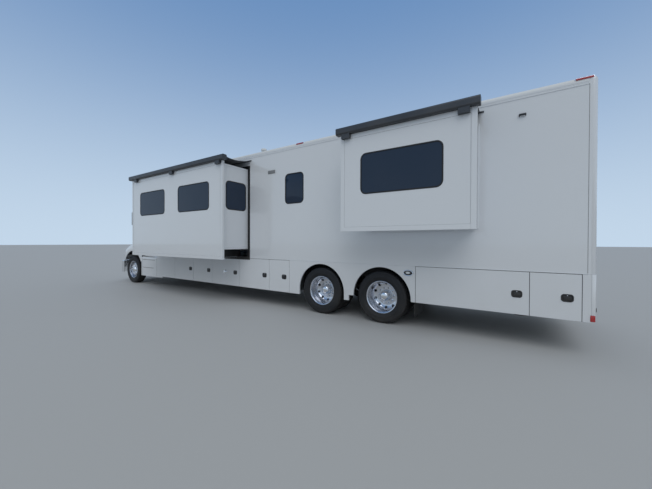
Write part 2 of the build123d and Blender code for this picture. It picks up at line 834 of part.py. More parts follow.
# Cab doors and their glass
for hand, hand_name in ((1, "left"), (-1, "right")):
    skin = cab_half if hand > 0 else cab_wall - cab_half
    with BuildPart() as cab_door:
        extrude(door_outline(0, door_foot, 0, side(skin)), amount=cab_wall)
        extrude(door_outline(-door_border, door_sill, 70, side(skin)), amount=cab_wall, mode=Mode.SUBTRACT)
    write(f"cab_door_{hand_name}", cab_door.part)
    glass_side = cab_half - 15 if hand > 0 else 15 + glass_thickness - cab_half
    with BuildPart() as door_glass:
        extrude(door_outline(-door_border - fit, door_sill + fit, 70 - fit, side(glass_side)),
                amount=glass_thickness)
    write(f"cab_glass_{hand_name}", door_glass.part)

# Cab interior: dashboard with the steering wheel, and two seats
cabin_floor = cab_foot + cab_wall
seat_start = door_start + 130
seat_top = cabin_floor + 380
back_top = seat_top + 670
dash_end = swing_station(cab_front_radius + cab_wall, cabin_floor) - fit
with BuildPart() as cab_interior:
    for hand in (1, -1):
        block(seat_start, seat_start + 500, hand * 340, hand * 860, cabin_floor, seat_top)
        block(seat_start - 80, seat_start + 40, hand * 340, hand * 860, seat_top, back_top)
        block(seat_start - 60, seat_start + 30, hand * 470, hand * 730, back_top, back_top + 190)
    block(header_station + 20, dash_end, -1040, 1040, cabin_floor, 1560)
    wheel_plane = Plane(origin=(at(header_station - 110), mid_y + 600, 1690), z_dir=(-0.5, 0, 0.87))
    with BuildSketch(wheel_plane):
        Circle(230)
        Circle(200, mode=Mode.SUBTRACT)
        Rectangle(420, 40)
        Circle(60)
    extrude(amount=25)
    with BuildSketch(wheel_plane):
        Circle(35)
    extrude(amount=-260)
write("cab_interior", cab_interior.part)

# Panes of the coach and the windshield, in one node as separate solids
with BuildPart() as windows:
    start, end, foot, top = small_window
    extrude(pane(start + fit, end - fit, foot + fit, top - fit, window_corner - fit, side(half_width)),
            amount=pane_depth)
    for start, end, foot, top in right_windows:
        extrude(pane(start + fit, end - fit, foot + fit, top - fit, window_corner - fit,
                     side(pane_depth - half_width)), amount=pane_depth)
    with BuildSketch(slope_plane.offset(-10)):
        RectangleRounded(2 * (windshield_half - fit), windshield_height - 2 * fit, 80 - fit)
    extrude(amount=-glass_thickness)
write("windows", windows.part)

# Hood: a bonnet between two fenders, hollow underneath, one moulding that tilts forward
bonnet_sections = (
    # station, half width at the foot, half width at the shoulder, shoulder height, crown height
    (cowl_station + hood_gap, bonnet_rear_half, bonnet_rear_half - 80, 1700, bonnet_rear_top),
    (bonnet_front - 620, 820, 750, 1640, 1730),
    (bonnet_front - 220, 650, 585, 1500, 1600),
    (bonnet_front, bonnet_nose_half, bonnet_nose_half - 60, 1330, 1430),
)


def bonnet_section(station, foot_half, shoulder_half_width, shoulder, crown, inset):
    """One cross section of the bonnet: straight flanks under an arched crown."""
    foot_x = foot_half - inset
    shoulder_x = shoulder_half_width - inset
    with BuildSketch(cross(station), mode=Mode.PRIVATE) as section:
        with BuildLine():
            Polyline((shoulder_x, shoulder - inset), (foot_x, hood_foot - (1 if inset else 0)),
                     (-foot_x, hood_foot - (1 if inset else 0)), (-shoulder_x, shoulder - inset))
            ThreePointArc((-shoulder_x, shoulder - inset), (0, crown - inset), (shoulder_x, shoulder - inset))
        make_face()
    return section.sketch


def fender_outline(inset):
    """Side outline of a fender, over the front wheel."""
    foot = hood_foot - (1 if inset else 0)
    return outline(
        (
            (at(fender_start + inset), foot),
            (at(fender_start + inset), 1395 - inset),
            (at(cowl_station + 10), 1415 - inset),
            (at(front_axle_station), 1425 - inset),
            (at(front_axle_station + 323), 1365 - inset),
            (at(front_axle_station + 633), 1235 - inset),
            (at(bonnet_front - 140 - inset / 2), 1080 - inset / 2),
            (at(bonnet_front - 20 - inset), 960),
            (at(bonnet_front - 20 - inset), foot),
        ),
        side(fender_side - inset),
    )


def fender_front(inset):
    """Front outline across both fenders, with rounded outer shoulders."""
    edge = fender_side - inset
    with BuildSketch(cross(fender_start - 20), mode=Mode.PRIVATE) as front:
        with BuildLine():
            Polyline((-edge, 1230), (-edge, 500), (edge, 500), (edge, 1230))
            ThreePointArc((edge, 1230), (edge - 55, 1370 - inset / 2), (edge - 190, 1430 - inset))
            Line((edge - 190, 1430 - inset), (190 - edge, 1430 - inset))
            ThreePointArc((190 - edge, 1430 - inset), (55 - edge, 1370 - inset / 2), (-edge, 1230))
        make_face()
    return front.sketch


def fender_plan(inset):
    """Plan outline across both fenders, rounded in towards the nose."""
    edge = fender_side - inset
    nose = bonnet_front - inset
    turn = bonnet_front - 520
    back = fender_start - 100
    with BuildSketch(level(400), mode=Mode.PRIVATE) as plan:
        with BuildLine():
            Polyline((at(turn), -edge), (at(back), -edge), (at(back), edge), (at(turn), edge))
            ThreePointArc((at(turn), edge), (at(nose - 150), edge - 165), (at(nose), edge - 480))
            Line((at(nose), edge - 480), (at(nose), 480 - edge))
            ThreePointArc((at(nose), 480 - edge), (at(nose - 150), 165 - edge), (at(turn), -edge))
        make_face()
    return plan.sketch


def hood_solid(inset):
    """Fenders and bonnet as one closed form, drawn in by a wall."""
    with BuildPart(mode=Mode.PRIVATE) as form:
        extrude(fender_outline(inset), amount=2 * (fender_side - inset))
        extrude(fender_front(inset), amount=2000, mode=Mode.INTERSECT)
        extrude(fender_plan(inset), amount=1400, mode=Mode.INTERSECT)
        ends = []
        for number, (station, foot_half, shoulder_x, shoulder, crown) in enumerate(bonnet_sections):
            place = station
            if inset and number == 0:
                place = station - 5
            if inset and number == len(bonnet_sections) - 1:
                place = station - inset
            ends.append(bonnet_section(place, foot_half, shoulder_x, shoulder, crown, inset))
        loft(ends, ruled=True)
    return form.part


clear_radius = cab_front_radius - hood_gap
rear_edge = cowl_station + hood_gap
rear_edge_foot = hood_pivot_height + sqrt(clear_radius**2 - (hood_pivot_station - rear_edge)**2)
cut_foot = hood_foot - 10
cut_top = bonnet_rear_top + 200
cut_back = at(fender_start - 100)


def cab_clearance():
    """Side outline cut from the hood between its outer flanks, so that it swings clear of the cab."""
    cut_front = (at(swing_station(clear_radius, cut_foot)), cut_foot)
    arc_top = (at(rear_edge), rear_edge_foot)
    with BuildSketch(side(cab_half + hood_gap), mode=Mode.PRIVATE) as drawn:
        with BuildLine():
            ThreePointArc(cut_front, (at(swing_station(clear_radius, front_middle)), front_middle), arc_top)
            Polyline(arc_top, (at(rear_edge), cut_top), (cut_back, cut_top), (cut_back, cut_foot), cut_front)
        make_face()
    return drawn.sketch


with BuildPart() as hood:
    add(hood_solid(0))
    add(hood_solid(hood_wall), mode=Mode.SUBTRACT)
    rod_across(front_axle_station, hub_height, arch_radius, -fender_side - 10, fender_side + 10,
               Mode.SUBTRACT)
    extrude(cab_clearance(), amount=2 * (cab_half + hood_gap), mode=Mode.SUBTRACT)
    block(bonnet_front - 50, bonnet_front + 10, -grille_half + 30, grille_half - 30, grille_foot + 30,
          grille_top - 40, Mode.SUBTRACT)
    for hand in (1, -1):
        block(bonnet_front - 80, bonnet_front + 20, hand * 420, hand * 500, hood_foot - 10, 882,
              Mode.SUBTRACT)
        block(bonnet_front - 30, hood_pivot_station + 30, hand * 452, hand * 490, 815, 930)
        rod_across(hood_pivot_station, hood_pivot_height, hood_pin_radius + fit, hand * 440, hand * 500,
                   Mode.SUBTRACT)
write("hood", hood.part)

# Grille: a frame with level bars, let into the hood's nose
with BuildPart() as grille:
    block(bonnet_front + fit, bonnet_front + grille_depth, -grille_half, grille_half, grille_foot, grille_top)
    fillet(grille.edges().filter_by(Axis.X), 60)
    block(bonnet_front - 1, bonnet_front + grille_depth + 1, -grille_half + 34, grille_half - 34,
          grille_foot + 34, grille_top - 34, Mode.SUBTRACT)
    bar_pitch = (grille_top - grille_foot - 68) / (grille_bars + 1)
    for number in range(1, grille_bars + 1):
        bar_height = grille_foot + 34 + number * bar_pitch
        block(bonnet_front + fit, bonnet_front + grille_depth - 8, -grille_half + 20, grille_half - 20,
              bar_height - 9, bar_height + 9)
write("grille", grille.part)

# Headlamps: lenses that follow the nose corners of the fenders
with BuildPart() as headlamps:
    add(hood_solid(-lens_depth))
    add(hood_solid(0), mode=Mode.SUBTRACT)
    with BuildPart(mode=Mode.INTERSECT):
        for hand in (1, -1):
            block(bonnet_front - 340, bonnet_front + 40, hand * lens_inner, hand * (fender_side - 35),
                  lens_foot, lens_top)
write("headlamps", headlamps.part)

bumper_end = bumper_station - 540
bumper_turn = bumper_station - 370


def bumper_plan(inset):
    """Plan outline of the bumper's front, drawn in by its wall."""
    edge = bumper_half - inset
    tip = bumper_station - inset
    end = bumper_end - inset
    with BuildSketch(level(bumper_foot), mode=Mode.PRIVATE) as plan:
        with BuildLine():
            Polyline((at(bumper_turn), edge), (at(end), edge), (at(end), -edge), (at(bumper_turn), -edge))
            ThreePointArc((at(bumper_turn), -edge), (at(tip - 120), 230 - edge), (at(tip), 640 - edge))
            Line((at(tip), 640 - edge), (at(tip), edge - 640))
            ThreePointArc((at(tip), edge - 640), (at(tip - 120), edge - 230), (at(bumper_turn), edge))
        make_face()
    return plan.sketch


# Front bumper: a deep channel that wraps round the fenders, on two brackets
with BuildPart() as front_bumper:
    extrude(bumper_plan(0), amount=bumper_top - bumper_foot)
    extrude(bumper_plan(bumper_wall), amount=bumper_top - bumper_foot, mode=Mode.SUBTRACT)
    for hand in (1, -1):
        block(bumper_station - 450, bumper_station - 20, hand * (rail_half - rail_flange), hand * rail_half,
              600, rail_foot)
write("front_bumper", front_bumper.part)

# Door mirrors on arms from the windshield pillars
mirror_post_side = mirror_side - 80
mirror_head_side = mirror_side - 75
with BuildPart() as mirrors:
    for hand in (1, -1):
        for height in (1890, 2095):
            rod_across(mirror_station, height, 15, hand * (cab_half + fit), hand * mirror_post_side)
        rod_up(mirror_station, hand * mirror_post_side, 15, 1875, 2470)
        with BuildSketch(Plane(origin=(at(mirror_station + 85), mid_y + hand * mirror_head_side, 2050))):
            RectangleRounded(150, 2 * (mirror_side - mirror_head_side), 40)
        extrude(amount=430)
write("mirrors", mirrors.part)

# Slide-outs: each a box with its outer face, its panes, and the roller of its topper awning
for slide in slides:
    face_out = half_width + slide.reach
    face_in = face_out - face_depth
    box_start = slide.start + face_overlap + box_clearance
    box_end = slide.end - face_overlap - box_clearance
    box_top = slide.top - opening_drop - box_clearance
    box_in = half_width - box_tail
    has_end_window = slide is front_slide
    end_window_middle = half_width + (end_window_near + end_window_far) / 2
    end_window_width = end_window_far - end_window_near
    window_height = window_top - window_foot
    pane_top = slide.window_foot + window_height
    with BuildSketch(cross(box_start), mode=Mode.PRIVATE) as end_window:
        with Locations((end_window_middle, slide.window_foot + window_height / 2)):
            RectangleRounded(end_window_width, window_height, window_corner)

    wall_out = face_in - fit
    floor_foot = slide.box_foot
    wall_top = box_top - box_wall
    with BuildPart() as room:
        block(slide.start, slide.end, face_in, face_out, slide.foot, slide.top)
        for start, end in slide.windows:
            extrude(pane(slide.start + start, slide.start + end, slide.window_foot, pane_top, window_corner,
                         side(face_out)), amount=face_depth, mode=Mode.SUBTRACT)
        for station in (box_start, box_end - box_wall):
            block(station, station + box_wall, box_in, wall_out, floor_foot + box_wall + fit, wall_top - fit)
        if has_end_window:
            extrude(end_window.sketch, amount=box_wall, mode=Mode.SUBTRACT)
        block(box_start, box_end, box_in, wall_out, floor_foot, floor_foot + box_wall)
        block(box_start, box_end, box_in, wall_out, wall_top, box_top)
        for station in (slide.start + runner_inset, slide.end - runner_inset):
            block(station - runner_width / 2, station + runner_width / 2, box_in, wall_out,
                  slide.opening_foot + fit, floor_foot - fit)
    write(f"{slide.name}_room", room.part)

    with BuildPart() as glass:
        for start, end in slide.windows:
            extrude(pane(slide.start + start + fit, slide.start + end - fit, slide.window_foot + fit,
                         pane_top - fit, window_corner - fit, side(face_out)), amount=pane_depth)
        if has_end_window:
            with BuildSketch(cross(box_start)):
                with Locations((end_window_middle, slide.window_foot + window_height / 2)):
                    RectangleRounded(end_window_width - 2 * fit, window_height - 2 * fit, window_corner - fit)
            extrude(amount=pane_depth)
    write(f"{slide.name}_glass", glass.part)

    with BuildPart() as topper:
        block(slide.start - slide.topper_behind, slide.end + slide.topper_ahead, face_in + 2,
              face_out + topper_proud, slide.top + fit, slide.top + topper_height)
        fillet(topper.edges().filter_by(Axis.X), 30)
        for place in slide.brackets:
            station = slide.start + place
            block(station - bracket_width / 2, station + bracket_width / 2, face_out + fit,
                  face_out + topper_proud - 15, slide.top - bracket_drop, slide.top + topper_height / 2)
    write(f"{slide.name}_topper", topper.part)

# Bay doors, each hinged on its forward edge
for door in bay_doors:
    with BuildPart() as bay_door:
        block(door.start + seam / 2, door.end - seam / 2, door.side * (half_width - skirt_wall),
              door.side * half_width, door.foot, bay_door_top)
    write(door.name, bay_door.part)

# Entry door and its pane
entry_window = (entry_start + 150, entry_end - 150, 1800, 2450)
with BuildPart() as entry_door:
    block(entry_start, entry_end, entry_depth - half_width, -half_width, entry_foot, entry_top)
    extrude(pane(*entry_window, window_corner, side(entry_depth - half_width)), amount=entry_depth,
            mode=Mode.SUBTRACT)
write("entry_door", entry_door.part)

with BuildPart() as entry_glass:
    start, end, foot, top = entry_window
    extrude(pane(start + fit, end - fit, foot + fit, top - fit, window_corner - fit,
                 side(pane_depth - half_width)), amount=pane_depth)
write("entry_glass", entry_glass.part)

# Air conditioners along the middle of the roof
with BuildPart() as air_units:
    for station in air_stations:
        with BuildSketch(Plane(origin=(at(station), mid_y, roof_top))):
            RectangleRounded(air_length, air_width, 110)
        extrude(amount=air_height, taper=11)
write("air_units", air_units.part)

# Lamps on the rear cap and the side marker lamp
upper_lamp_foot = tail_lamp_foot + tail_lamp_height + lamp_gap
marker_top = roof_top - roof_marker_drop
with BuildPart() as lamps:
    for hand in (1, -1):
        block(-14, -fit, hand * 1010, hand * 1170, tail_lamp_foot, tail_lamp_foot + tail_lamp_height)
        block(-14, -fit, hand * 1010, hand * 1170, upper_lamp_foot, upper_lamp_foot + upper_lamp_height)
        lamp_place = (at(side_lamp_station), mid_y + hand * (half_width + fit), side_lamp_height)
        with BuildSketch(Plane(origin=lamp_place, x_dir=(1, 0, 0), z_dir=(0, hand, 0))):
            Ellipse(side_lamp_length / 2, side_lamp_width / 2)
        extrude(amount=14)
    for y in (-260, 0, 260):
        block(-12, -fit, y - 60, y + 60, marker_top - roof_marker_height, marker_top)
write("lamps", lamps.part)

# Patio awning, rolled up in its case on the passenger side
with BuildPart() as patio_awning:
    block(2400, entry_start - 700, -half_width - fit, -half_width - awning_depth, awning_top - awning_height,
          awning_top)
    fillet(patio_awning.edges().filter_by(Axis.X).group_by(Axis.Y)[0], 50)
write("patio_awning", patio_awning.part)
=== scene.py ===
"""Looks of a motorhome on a three-axle truck chassis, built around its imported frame.

Metres. +X is forward, +Y the driver's side, +Z up, and the ground is Z = 0.
A station is a distance forward from the coach's rear face, a side is a distance from its centre plane.
"""

import json
import logging
from dataclasses import dataclass, field
from enum import Enum
from math import asin, cos, exp, pi, radians, sin, tan, tau
from typing import Callable, Optional, Sequence

import bmesh
import bpy
from mathutils import Matrix, Quaternion, Vector
from mathutils.geometry import tessellate_polygon


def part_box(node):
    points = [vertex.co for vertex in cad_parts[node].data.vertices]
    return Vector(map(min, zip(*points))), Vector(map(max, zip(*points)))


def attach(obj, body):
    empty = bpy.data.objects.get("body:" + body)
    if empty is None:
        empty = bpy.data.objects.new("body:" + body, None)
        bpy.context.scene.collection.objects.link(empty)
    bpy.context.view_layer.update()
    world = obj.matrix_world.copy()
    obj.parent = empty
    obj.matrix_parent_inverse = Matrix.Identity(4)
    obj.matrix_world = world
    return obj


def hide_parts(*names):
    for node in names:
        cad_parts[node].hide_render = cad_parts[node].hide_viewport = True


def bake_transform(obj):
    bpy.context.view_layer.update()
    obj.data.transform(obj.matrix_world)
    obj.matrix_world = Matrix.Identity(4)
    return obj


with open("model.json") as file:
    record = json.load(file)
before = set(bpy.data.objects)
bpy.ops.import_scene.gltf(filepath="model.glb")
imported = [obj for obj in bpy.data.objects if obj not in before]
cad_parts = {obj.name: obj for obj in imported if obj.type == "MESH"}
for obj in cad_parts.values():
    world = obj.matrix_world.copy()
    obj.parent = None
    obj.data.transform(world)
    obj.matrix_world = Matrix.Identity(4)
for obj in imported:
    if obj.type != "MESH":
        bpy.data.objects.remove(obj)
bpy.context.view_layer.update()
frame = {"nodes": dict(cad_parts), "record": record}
log = logging.getLogger("motorhome")

Colour = tuple[float, float, float]
Loop = list[tuple[float, float]]
Knots = tuple[tuple[float, float], ...]

FORWARD = Vector((1, 0, 0))
LEFTWARD = Vector((0, 1, 0))
UPWARD = Vector((0, 0, 1))

CARVED_SMOOTH = 30.0


class Hand(Enum):
    """Side of the vehicle, as the sign of its Y."""

    LEFT = 1
    RIGHT = -1

    @property
    def word(self) -> str:
        """The side's name, as in the names of the CAD nodes."""
        return self.name.lower()


@dataclass(frozen=True)
class Layout:
    """Places of the coach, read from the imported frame."""

    rear: float
    middle: float
    half: float

    @classmethod
    def read(cls) -> "Layout":
        """Measure the rear face, the centre plane and half the width from the walls."""
        left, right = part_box("left_wall")[1].y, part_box("right_wall")[0].y
        return cls(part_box("rear_wall")[0].x, (left + right) / 2, (left - right) / 2)

    def place(self, station: float, side: float, height: float) -> Vector:
        """Point at a station, a side distance and a height."""
        return Vector((self.rear + station, self.middle + side, height))

    def station(self, x: float) -> float:
        """Station of an X."""
        return x - self.rear

    def hand(self, y: float) -> Hand:
        """Side of the centre plane that a Y lies on."""
        return Hand.LEFT if y > self.middle else Hand.RIGHT

    def wall(self, hand: Hand, proud: float = 0.0) -> "Face":
        """Outside of a side wall: along is the station and up the height.

        Args:
            hand: Which wall.
            proud: Distance of the face outside the wall's own plane.

        Returns:
            The face.
        """
        return self.flank(hand, self.half + proud)

    def flank(self, hand: Hand, side: float) -> "Face":
        """Face along one side of the vehicle, at a distance from the centre plane."""
        return Face(self.place(0, hand.value * side, 0), FORWARD, UPWARD, LEFTWARD * hand.value)

    def end(self, station: float, forward: bool) -> "Face":
        """Face across the vehicle: along is the side distance and up the height.

        Args:
            station: Where it stands.
            forward: Whether it faces forward.

        Returns:
            The face.
        """
        return Face(self.place(station, 0, 0), LEFTWARD, UPWARD, FORWARD if forward else -FORWARD)

    def deck(self, height: float) -> "Face":
        """Level face: along is the station and up the side distance."""
        return Face(self.place(0, 0, height), FORWARD, LEFTWARD, UPWARD)


@dataclass(frozen=True)
class Face:
    """A flat face to build on: an origin, two directions along it and one out of it."""

    origin: Vector
    along: Vector
    up: Vector
    out: Vector

    def point(self, u: float, v: float, n: float = 0.0) -> Vector:
        """Point at two distances along the face and one out of it."""
        return self.origin + self.along * u + self.up * v + self.out * n


# Shared shader groups


class Effect:
    """A shader node group with named inputs and outputs, built once."""

    name: str = ""
    inputs: tuple[tuple[str, str, object], ...] = ()
    outputs: tuple[tuple[str, str], ...] = ()

    @classmethod
    def tree(cls) -> bpy.types.NodeTree:
        """The group, built at its first use."""
        made = bpy.data.node_groups.get(cls.name)
        if made is None:
            made = bpy.data.node_groups.new(cls.name, "ShaderNodeTree")
            for name, kind, value in cls.inputs:
                socket = made.interface.new_socket(name, in_out="INPUT", socket_type=kind)
                socket.default_value = value
            for name, kind in cls.outputs:
                made.interface.new_socket(name, in_out="OUTPUT", socket_type=kind)
            cls.fill(Wiring(made))
        return made

    @classmethod
    def fill(cls, wiring: "Wiring") -> None:
        """Add the nodes between the group's inputs and outputs."""
        raise NotImplementedError


class Wiring:
    """Short ways to add and join the nodes of one tree."""

    def __init__(self, tree: bpy.types.NodeTree) -> None:
        """Keep the tree, with its group ends if it is a group."""
        self.tree = tree
        self.source, self.sink = None, None
        if tree.bl_idname == "ShaderNodeTree" and self.is_group():
            self.source, self.sink = tree.nodes.new("NodeGroupInput"), tree.nodes.new("NodeGroupOutput")

    def is_group(self) -> bool:
        """Whether the tree is a node group and not a material's own."""
        return self.tree.name in bpy.data.node_groups

    def add(self, kind: str, values: Optional[dict[str, object]] = None,
            **settings: object) -> bpy.types.Node:
        """Add a node.

        Args:
            kind: The node's type, without its ShaderNode prefix.
            values: Values of its input sockets, by name. An output socket is joined instead.
            settings: Values of the node's own settings.

        Returns:
            The node.
        """
        node = self.tree.nodes.new("ShaderNode" + kind)
        for name, value in settings.items():
            setattr(node, name, value)
        for name, value in (values or {}).items():
            self.put(node.inputs[name], value)
        return node

    def put(self, socket: bpy.types.NodeSocket, value: object) -> None:
        """Join an output to a socket, or set the socket's value."""
        if isinstance(value, bpy.types.NodeSocket):
            self.tree.links.new(value, socket)
        elif isinstance(value, tuple) and len(value) == 3 and socket.type == "RGBA":
            socket.default_value = (*value, 1.0)
        else:
            socket.default_value = value

    def math(self, operation: str, first: object, second: object = 0.0,
             clamp: bool = False) -> bpy.types.NodeSocket:
        """Result of one math operation on two values or sockets."""
        node = self.add("Math", operation=operation, use_clamp=clamp)
        self.put(node.inputs[0], first)
        self.put(node.inputs[1], second)
        return node.outputs[0]

    def blend(self, amount: object, first: object, second: object) -> bpy.types.NodeSocket:
        """Mix of two colours."""
        node = self.add("Mix", data_type="RGBA")
        self.put(node.inputs["Factor"], amount)
        self.put(node.inputs[6], first)
        self.put(node.inputs[7], second)
        return node.outputs[2]

    def ramp(self, value: bpy.types.NodeSocket, low: object, high: object) -> bpy.types.NodeSocket:
        """Smooth step of a value from 0 at low to 1 at high."""
        limits = {"Value": value, "From Min": low, "From Max": high}
        return self.add("MapRange", limits, interpolation_type="SMOOTHSTEP").outputs[0]

    def here(self) -> bpy.types.NodeSocket:
        """The surface's place in the row frame, fixed to its piece."""
        return self.add("TexCoord").outputs["Object"]

    def noise(self, scale: object, detail: float = 2.0) -> bpy.types.NodeSocket:
        """Noise over the surface's own place."""
        return self.add("TexNoise", {"Vector": self.here(), "Scale": scale, "Detail": detail}).outputs[0]

    def either(self, amount: object, first: object, second: object) -> bpy.types.NodeSocket:
        """Mix of two shaders."""
        node = self.add("MixShader")
        for socket, value in zip(node.inputs, (amount, first, second)):
            self.put(socket, value)
        return node.outputs[0]


class RoadDust(Effect):
    """Fine dust that gathers low on the vehicle and in soft blotches."""

    name = "road dust"
    inputs = (
        ("Colour", "NodeSocketColor", (0.8, 0.8, 0.8, 1.0)),
        ("Dust", "NodeSocketColor", (0.36, 0.32, 0.27, 1.0)),
        ("Amount", "NodeSocketFloat", 0.2),
        ("Top", "NodeSocketFloat", 1.4),
    )
    outputs = (("Colour", "NodeSocketColor"), ("Mask", "NodeSocketFloat"))

    @classmethod
    def fill(cls, wiring: Wiring) -> None:
        """Mask by height and noise, then mix the dust in."""
        source = wiring.source.outputs
        height = wiring.add("SeparateXYZ", {"Vector": wiring.here()}).outputs["Z"]
        low = wiring.math("SUBTRACT", 1.0, wiring.ramp(height, 0.0, source["Top"]), clamp=True)
        blotch = wiring.ramp(wiring.noise(2.3, 5.0), 0.30, 0.75)
        speck = wiring.ramp(wiring.noise(38.0, 3.0), 0.35, 0.8)
        mottle = wiring.math("ADD", wiring.math("MULTIPLY", blotch, 0.7), wiring.math("MULTIPLY", speck, 0.3))
        mask = wiring.math("MULTIPLY", wiring.math("MULTIPLY", low, mottle), source["Amount"], clamp=True)
        wiring.put(wiring.sink.inputs["Colour"], wiring.blend(mask, source["Colour"], source["Dust"]))
        wiring.put(wiring.sink.inputs["Mask"], mask)


class Mottle(Effect):
    """A roughness that wanders about a middle value, as handled and washed surfaces do."""

    name = "mottle"
    inputs = (
        ("Roughness", "NodeSocketFloat", 0.4),
        ("Spread", "NodeSocketFloat", 0.1),
        ("Scale", "NodeSocketFloat", 6.0),
    )
    outputs = (("Roughness", "NodeSocketFloat"),)

    @classmethod
    def fill(cls, wiring: Wiring) -> None:
        """Centre the noise on 0 and add it."""
        source = wiring.source.outputs
        wander = wiring.math("SUBTRACT", wiring.noise(source["Scale"], 4.0), 0.5)
        swing = wiring.math("MULTIPLY", wiring.math("MULTIPLY", wander, 2.0), source["Spread"])
        wiring.put(wiring.sink.inputs["Roughness"],
                   wiring.math("ADD", source["Roughness"], swing, clamp=True))


class Grain(Effect):
    """Height of a fine grain, such as orange peel, moulded texture or cast skin."""

    name = "grain"
    inputs = (("Scale", "NodeSocketFloat", 200.0), ("Coarse", "NodeSocketFloat", 0.3))
    outputs = (("Height", "NodeSocketFloat"),)

    @classmethod
    def fill(cls, wiring: Wiring) -> None:
        """Fine noise with a share of noise six times coarser."""
        source = wiring.source.outputs
        fine = wiring.noise(source["Scale"], 3.0)
        coarse = wiring.noise(wiring.math("DIVIDE", source["Scale"], 6.0), 2.0)
        share = wiring.math("MULTIPLY", coarse, source["Coarse"])
        wiring.put(wiring.sink.inputs["Height"], wiring.math("ADD", fine, share))


class Weave(Effect):
    """Crossed threads of a coated cloth."""

    name = "weave"
    inputs = (("Threads", "NodeSocketFloat", 700.0),)
    outputs = (("Height", "NodeSocketFloat"), ("Shade", "NodeSocketFloat"))

    @classmethod
    def fill(cls, wiring: Wiring) -> None:
        """Two sine waves across each other, each rising over the other in turn."""
        source = wiring.source.outputs
        place = wiring.add("SeparateXYZ", {"Vector": wiring.here()}).outputs
        warp = wiring.math("SINE", wiring.math("MULTIPLY", place["X"], source["Threads"]))
        weft = wiring.math("SINE", wiring.math("MULTIPLY", place["Y"], source["Threads"]))
        crossed = wiring.math("MULTIPLY", warp, weft)
        wiring.put(wiring.sink.inputs["Height"], crossed)
        wiring.put(wiring.sink.inputs["Shade"], wiring.ramp(wiring.noise(9.0, 4.0), 0.3, 0.7))


# Finishes


@dataclass(frozen=True)
class Finish:
    """A surface finish: its name, the record's slot it stands for, and its plain values."""

    name: str
    slot: Optional[str]
    colour: Colour
    roughness: float = 0.4
    spread: float = 0.08
    patch: float = 5.0
    dust: float = 0.15
    dust_top: float = 1.5
    grain: float = 300.0
    bump: float = 0.1
    depth: float = 0.0004

    def material(self) -> bpy.types.Material:
        """The finish's material, built at its first use."""
        made = bpy.data.materials.get(self.name)
        if made is None:
            made = bpy.data.materials.new(self.name)
            made.use_nodes = True
            made.diffuse_color = (*self.colour, 1.0)
            wiring = Wiring(made.node_tree)
            surface = made.node_tree.nodes["Principled BSDF"]
            self.wire(wiring, surface)
        return made

    def wire(self, wiring: Wiring, surface: bpy.types.Node) -> None:
        """Join colour, roughness and relief to the shader.

        Args:
            wiring: The material's tree.
            surface: Its Principled shader.
        """
        wiring.put(surface.inputs["Base Color"], self.dusted(wiring))
        wiring.put(surface.inputs["Roughness"], self.mottled(wiring))
        wiring.put(surface.inputs["Normal"], self.relief(wiring))
        self.tune(surface)

    def tune(self, surface: bpy.types.Node) -> None:
        """Set the shader's constant sockets."""

    def group(self, wiring: Wiring, effect: type[Effect], values: dict[str, object]) -> bpy.types.Node:
        """Place a shared group in the material with this finish's own values."""
        return wiring.add("Group", values, node_tree=effect.tree())

    def dusted(self, wiring: Wiring) -> bpy.types.NodeSocket:
        """Colour with road dust on it."""
        values = {"Colour": self.colour, "Amount": self.dust, "Top": self.dust_top}
        return self.group(wiring, RoadDust, values).outputs["Colour"]

    def mottled(self, wiring: Wiring) -> bpy.types.NodeSocket:
        """Roughness that wanders."""
        values = {"Roughness": self.roughness, "Spread": self.spread, "Scale": self.patch}
        return self.group(wiring, Mottle, values).outputs["Roughness"]

    def relief(self, wiring: Wiring) -> bpy.types.NodeSocket:
        """Normal from the grain's height."""
        return self.bumped(wiring, self.group(wiring, Grain, {"Scale": self.grain}).outputs["Height"])

    def bumped(self, wiring: Wiring, height: bpy.types.NodeSocket) -> bpy.types.NodeSocket:
        """Normal from a height, at the finish's own strength."""
        return wiring.add("Bump",
                          {"Height": height, "Strength": self.bump, "Distance": self.depth}).outputs["Normal"]


@dataclass(frozen=True)
class Paint(Finish):
    """Sprayed paint or gelcoat under a clear coat, with a little orange peel."""

    coat: float = 0.9

    def tune(self, surface: bpy.types.Node) -> None:
        """Clear coat over the colour."""
        surface.inputs["Coat Weight"].default_value = self.coat
        surface.inputs["Coat Roughness"].default_value = 0.04


@dataclass(frozen=True)
class Metal(Finish):
    """Bare or plated metal."""

    def tune(self, surface: bpy.types.Node) -> None:
        """Fully metallic."""
        surface.inputs["Metallic"].default_value = 1.0


@dataclass(frozen=True)
class DarkGlass(Finish):
    """Privacy glass: so dark that it shows its surroundings and no inside."""

    def tune(self, surface: bpy.types.Node) -> None:
        """A hard, glossy skin."""
        surface.inputs["IOR"].default_value = 1.38


@dataclass(frozen=True)
class ClearGlass(Finish):
    """Glass or lens plastic that light passes."""

    clear: float = 1.0

    def wire(self, wiring: Wiring, surface: bpy.types.Node) -> None:
        """Glass that lets the light through to what is behind it, so that the inside isn't dark."""
        super().wire(wiring, surface)
        output = next(n for n in wiring.tree.nodes if n.type == "OUTPUT_MATERIAL")
        through = wiring.add("BsdfTransparent", {"Color": tuple(0.4 + 0.6 * c for c in self.colour)})
        in_shadow = wiring.add("LightPath").outputs["Is Shadow Ray"]
        wiring.put(output.inputs["Surface"], wiring.either(in_shadow, surface.outputs[0], through.outputs[0]))

    def tune(self, surface: bpy.types.Node) -> None:
        """Let light through."""
        surface.inputs["Transmission Weight"].default_value = self.clear
        surface.inputs["IOR"].default_value = 1.45


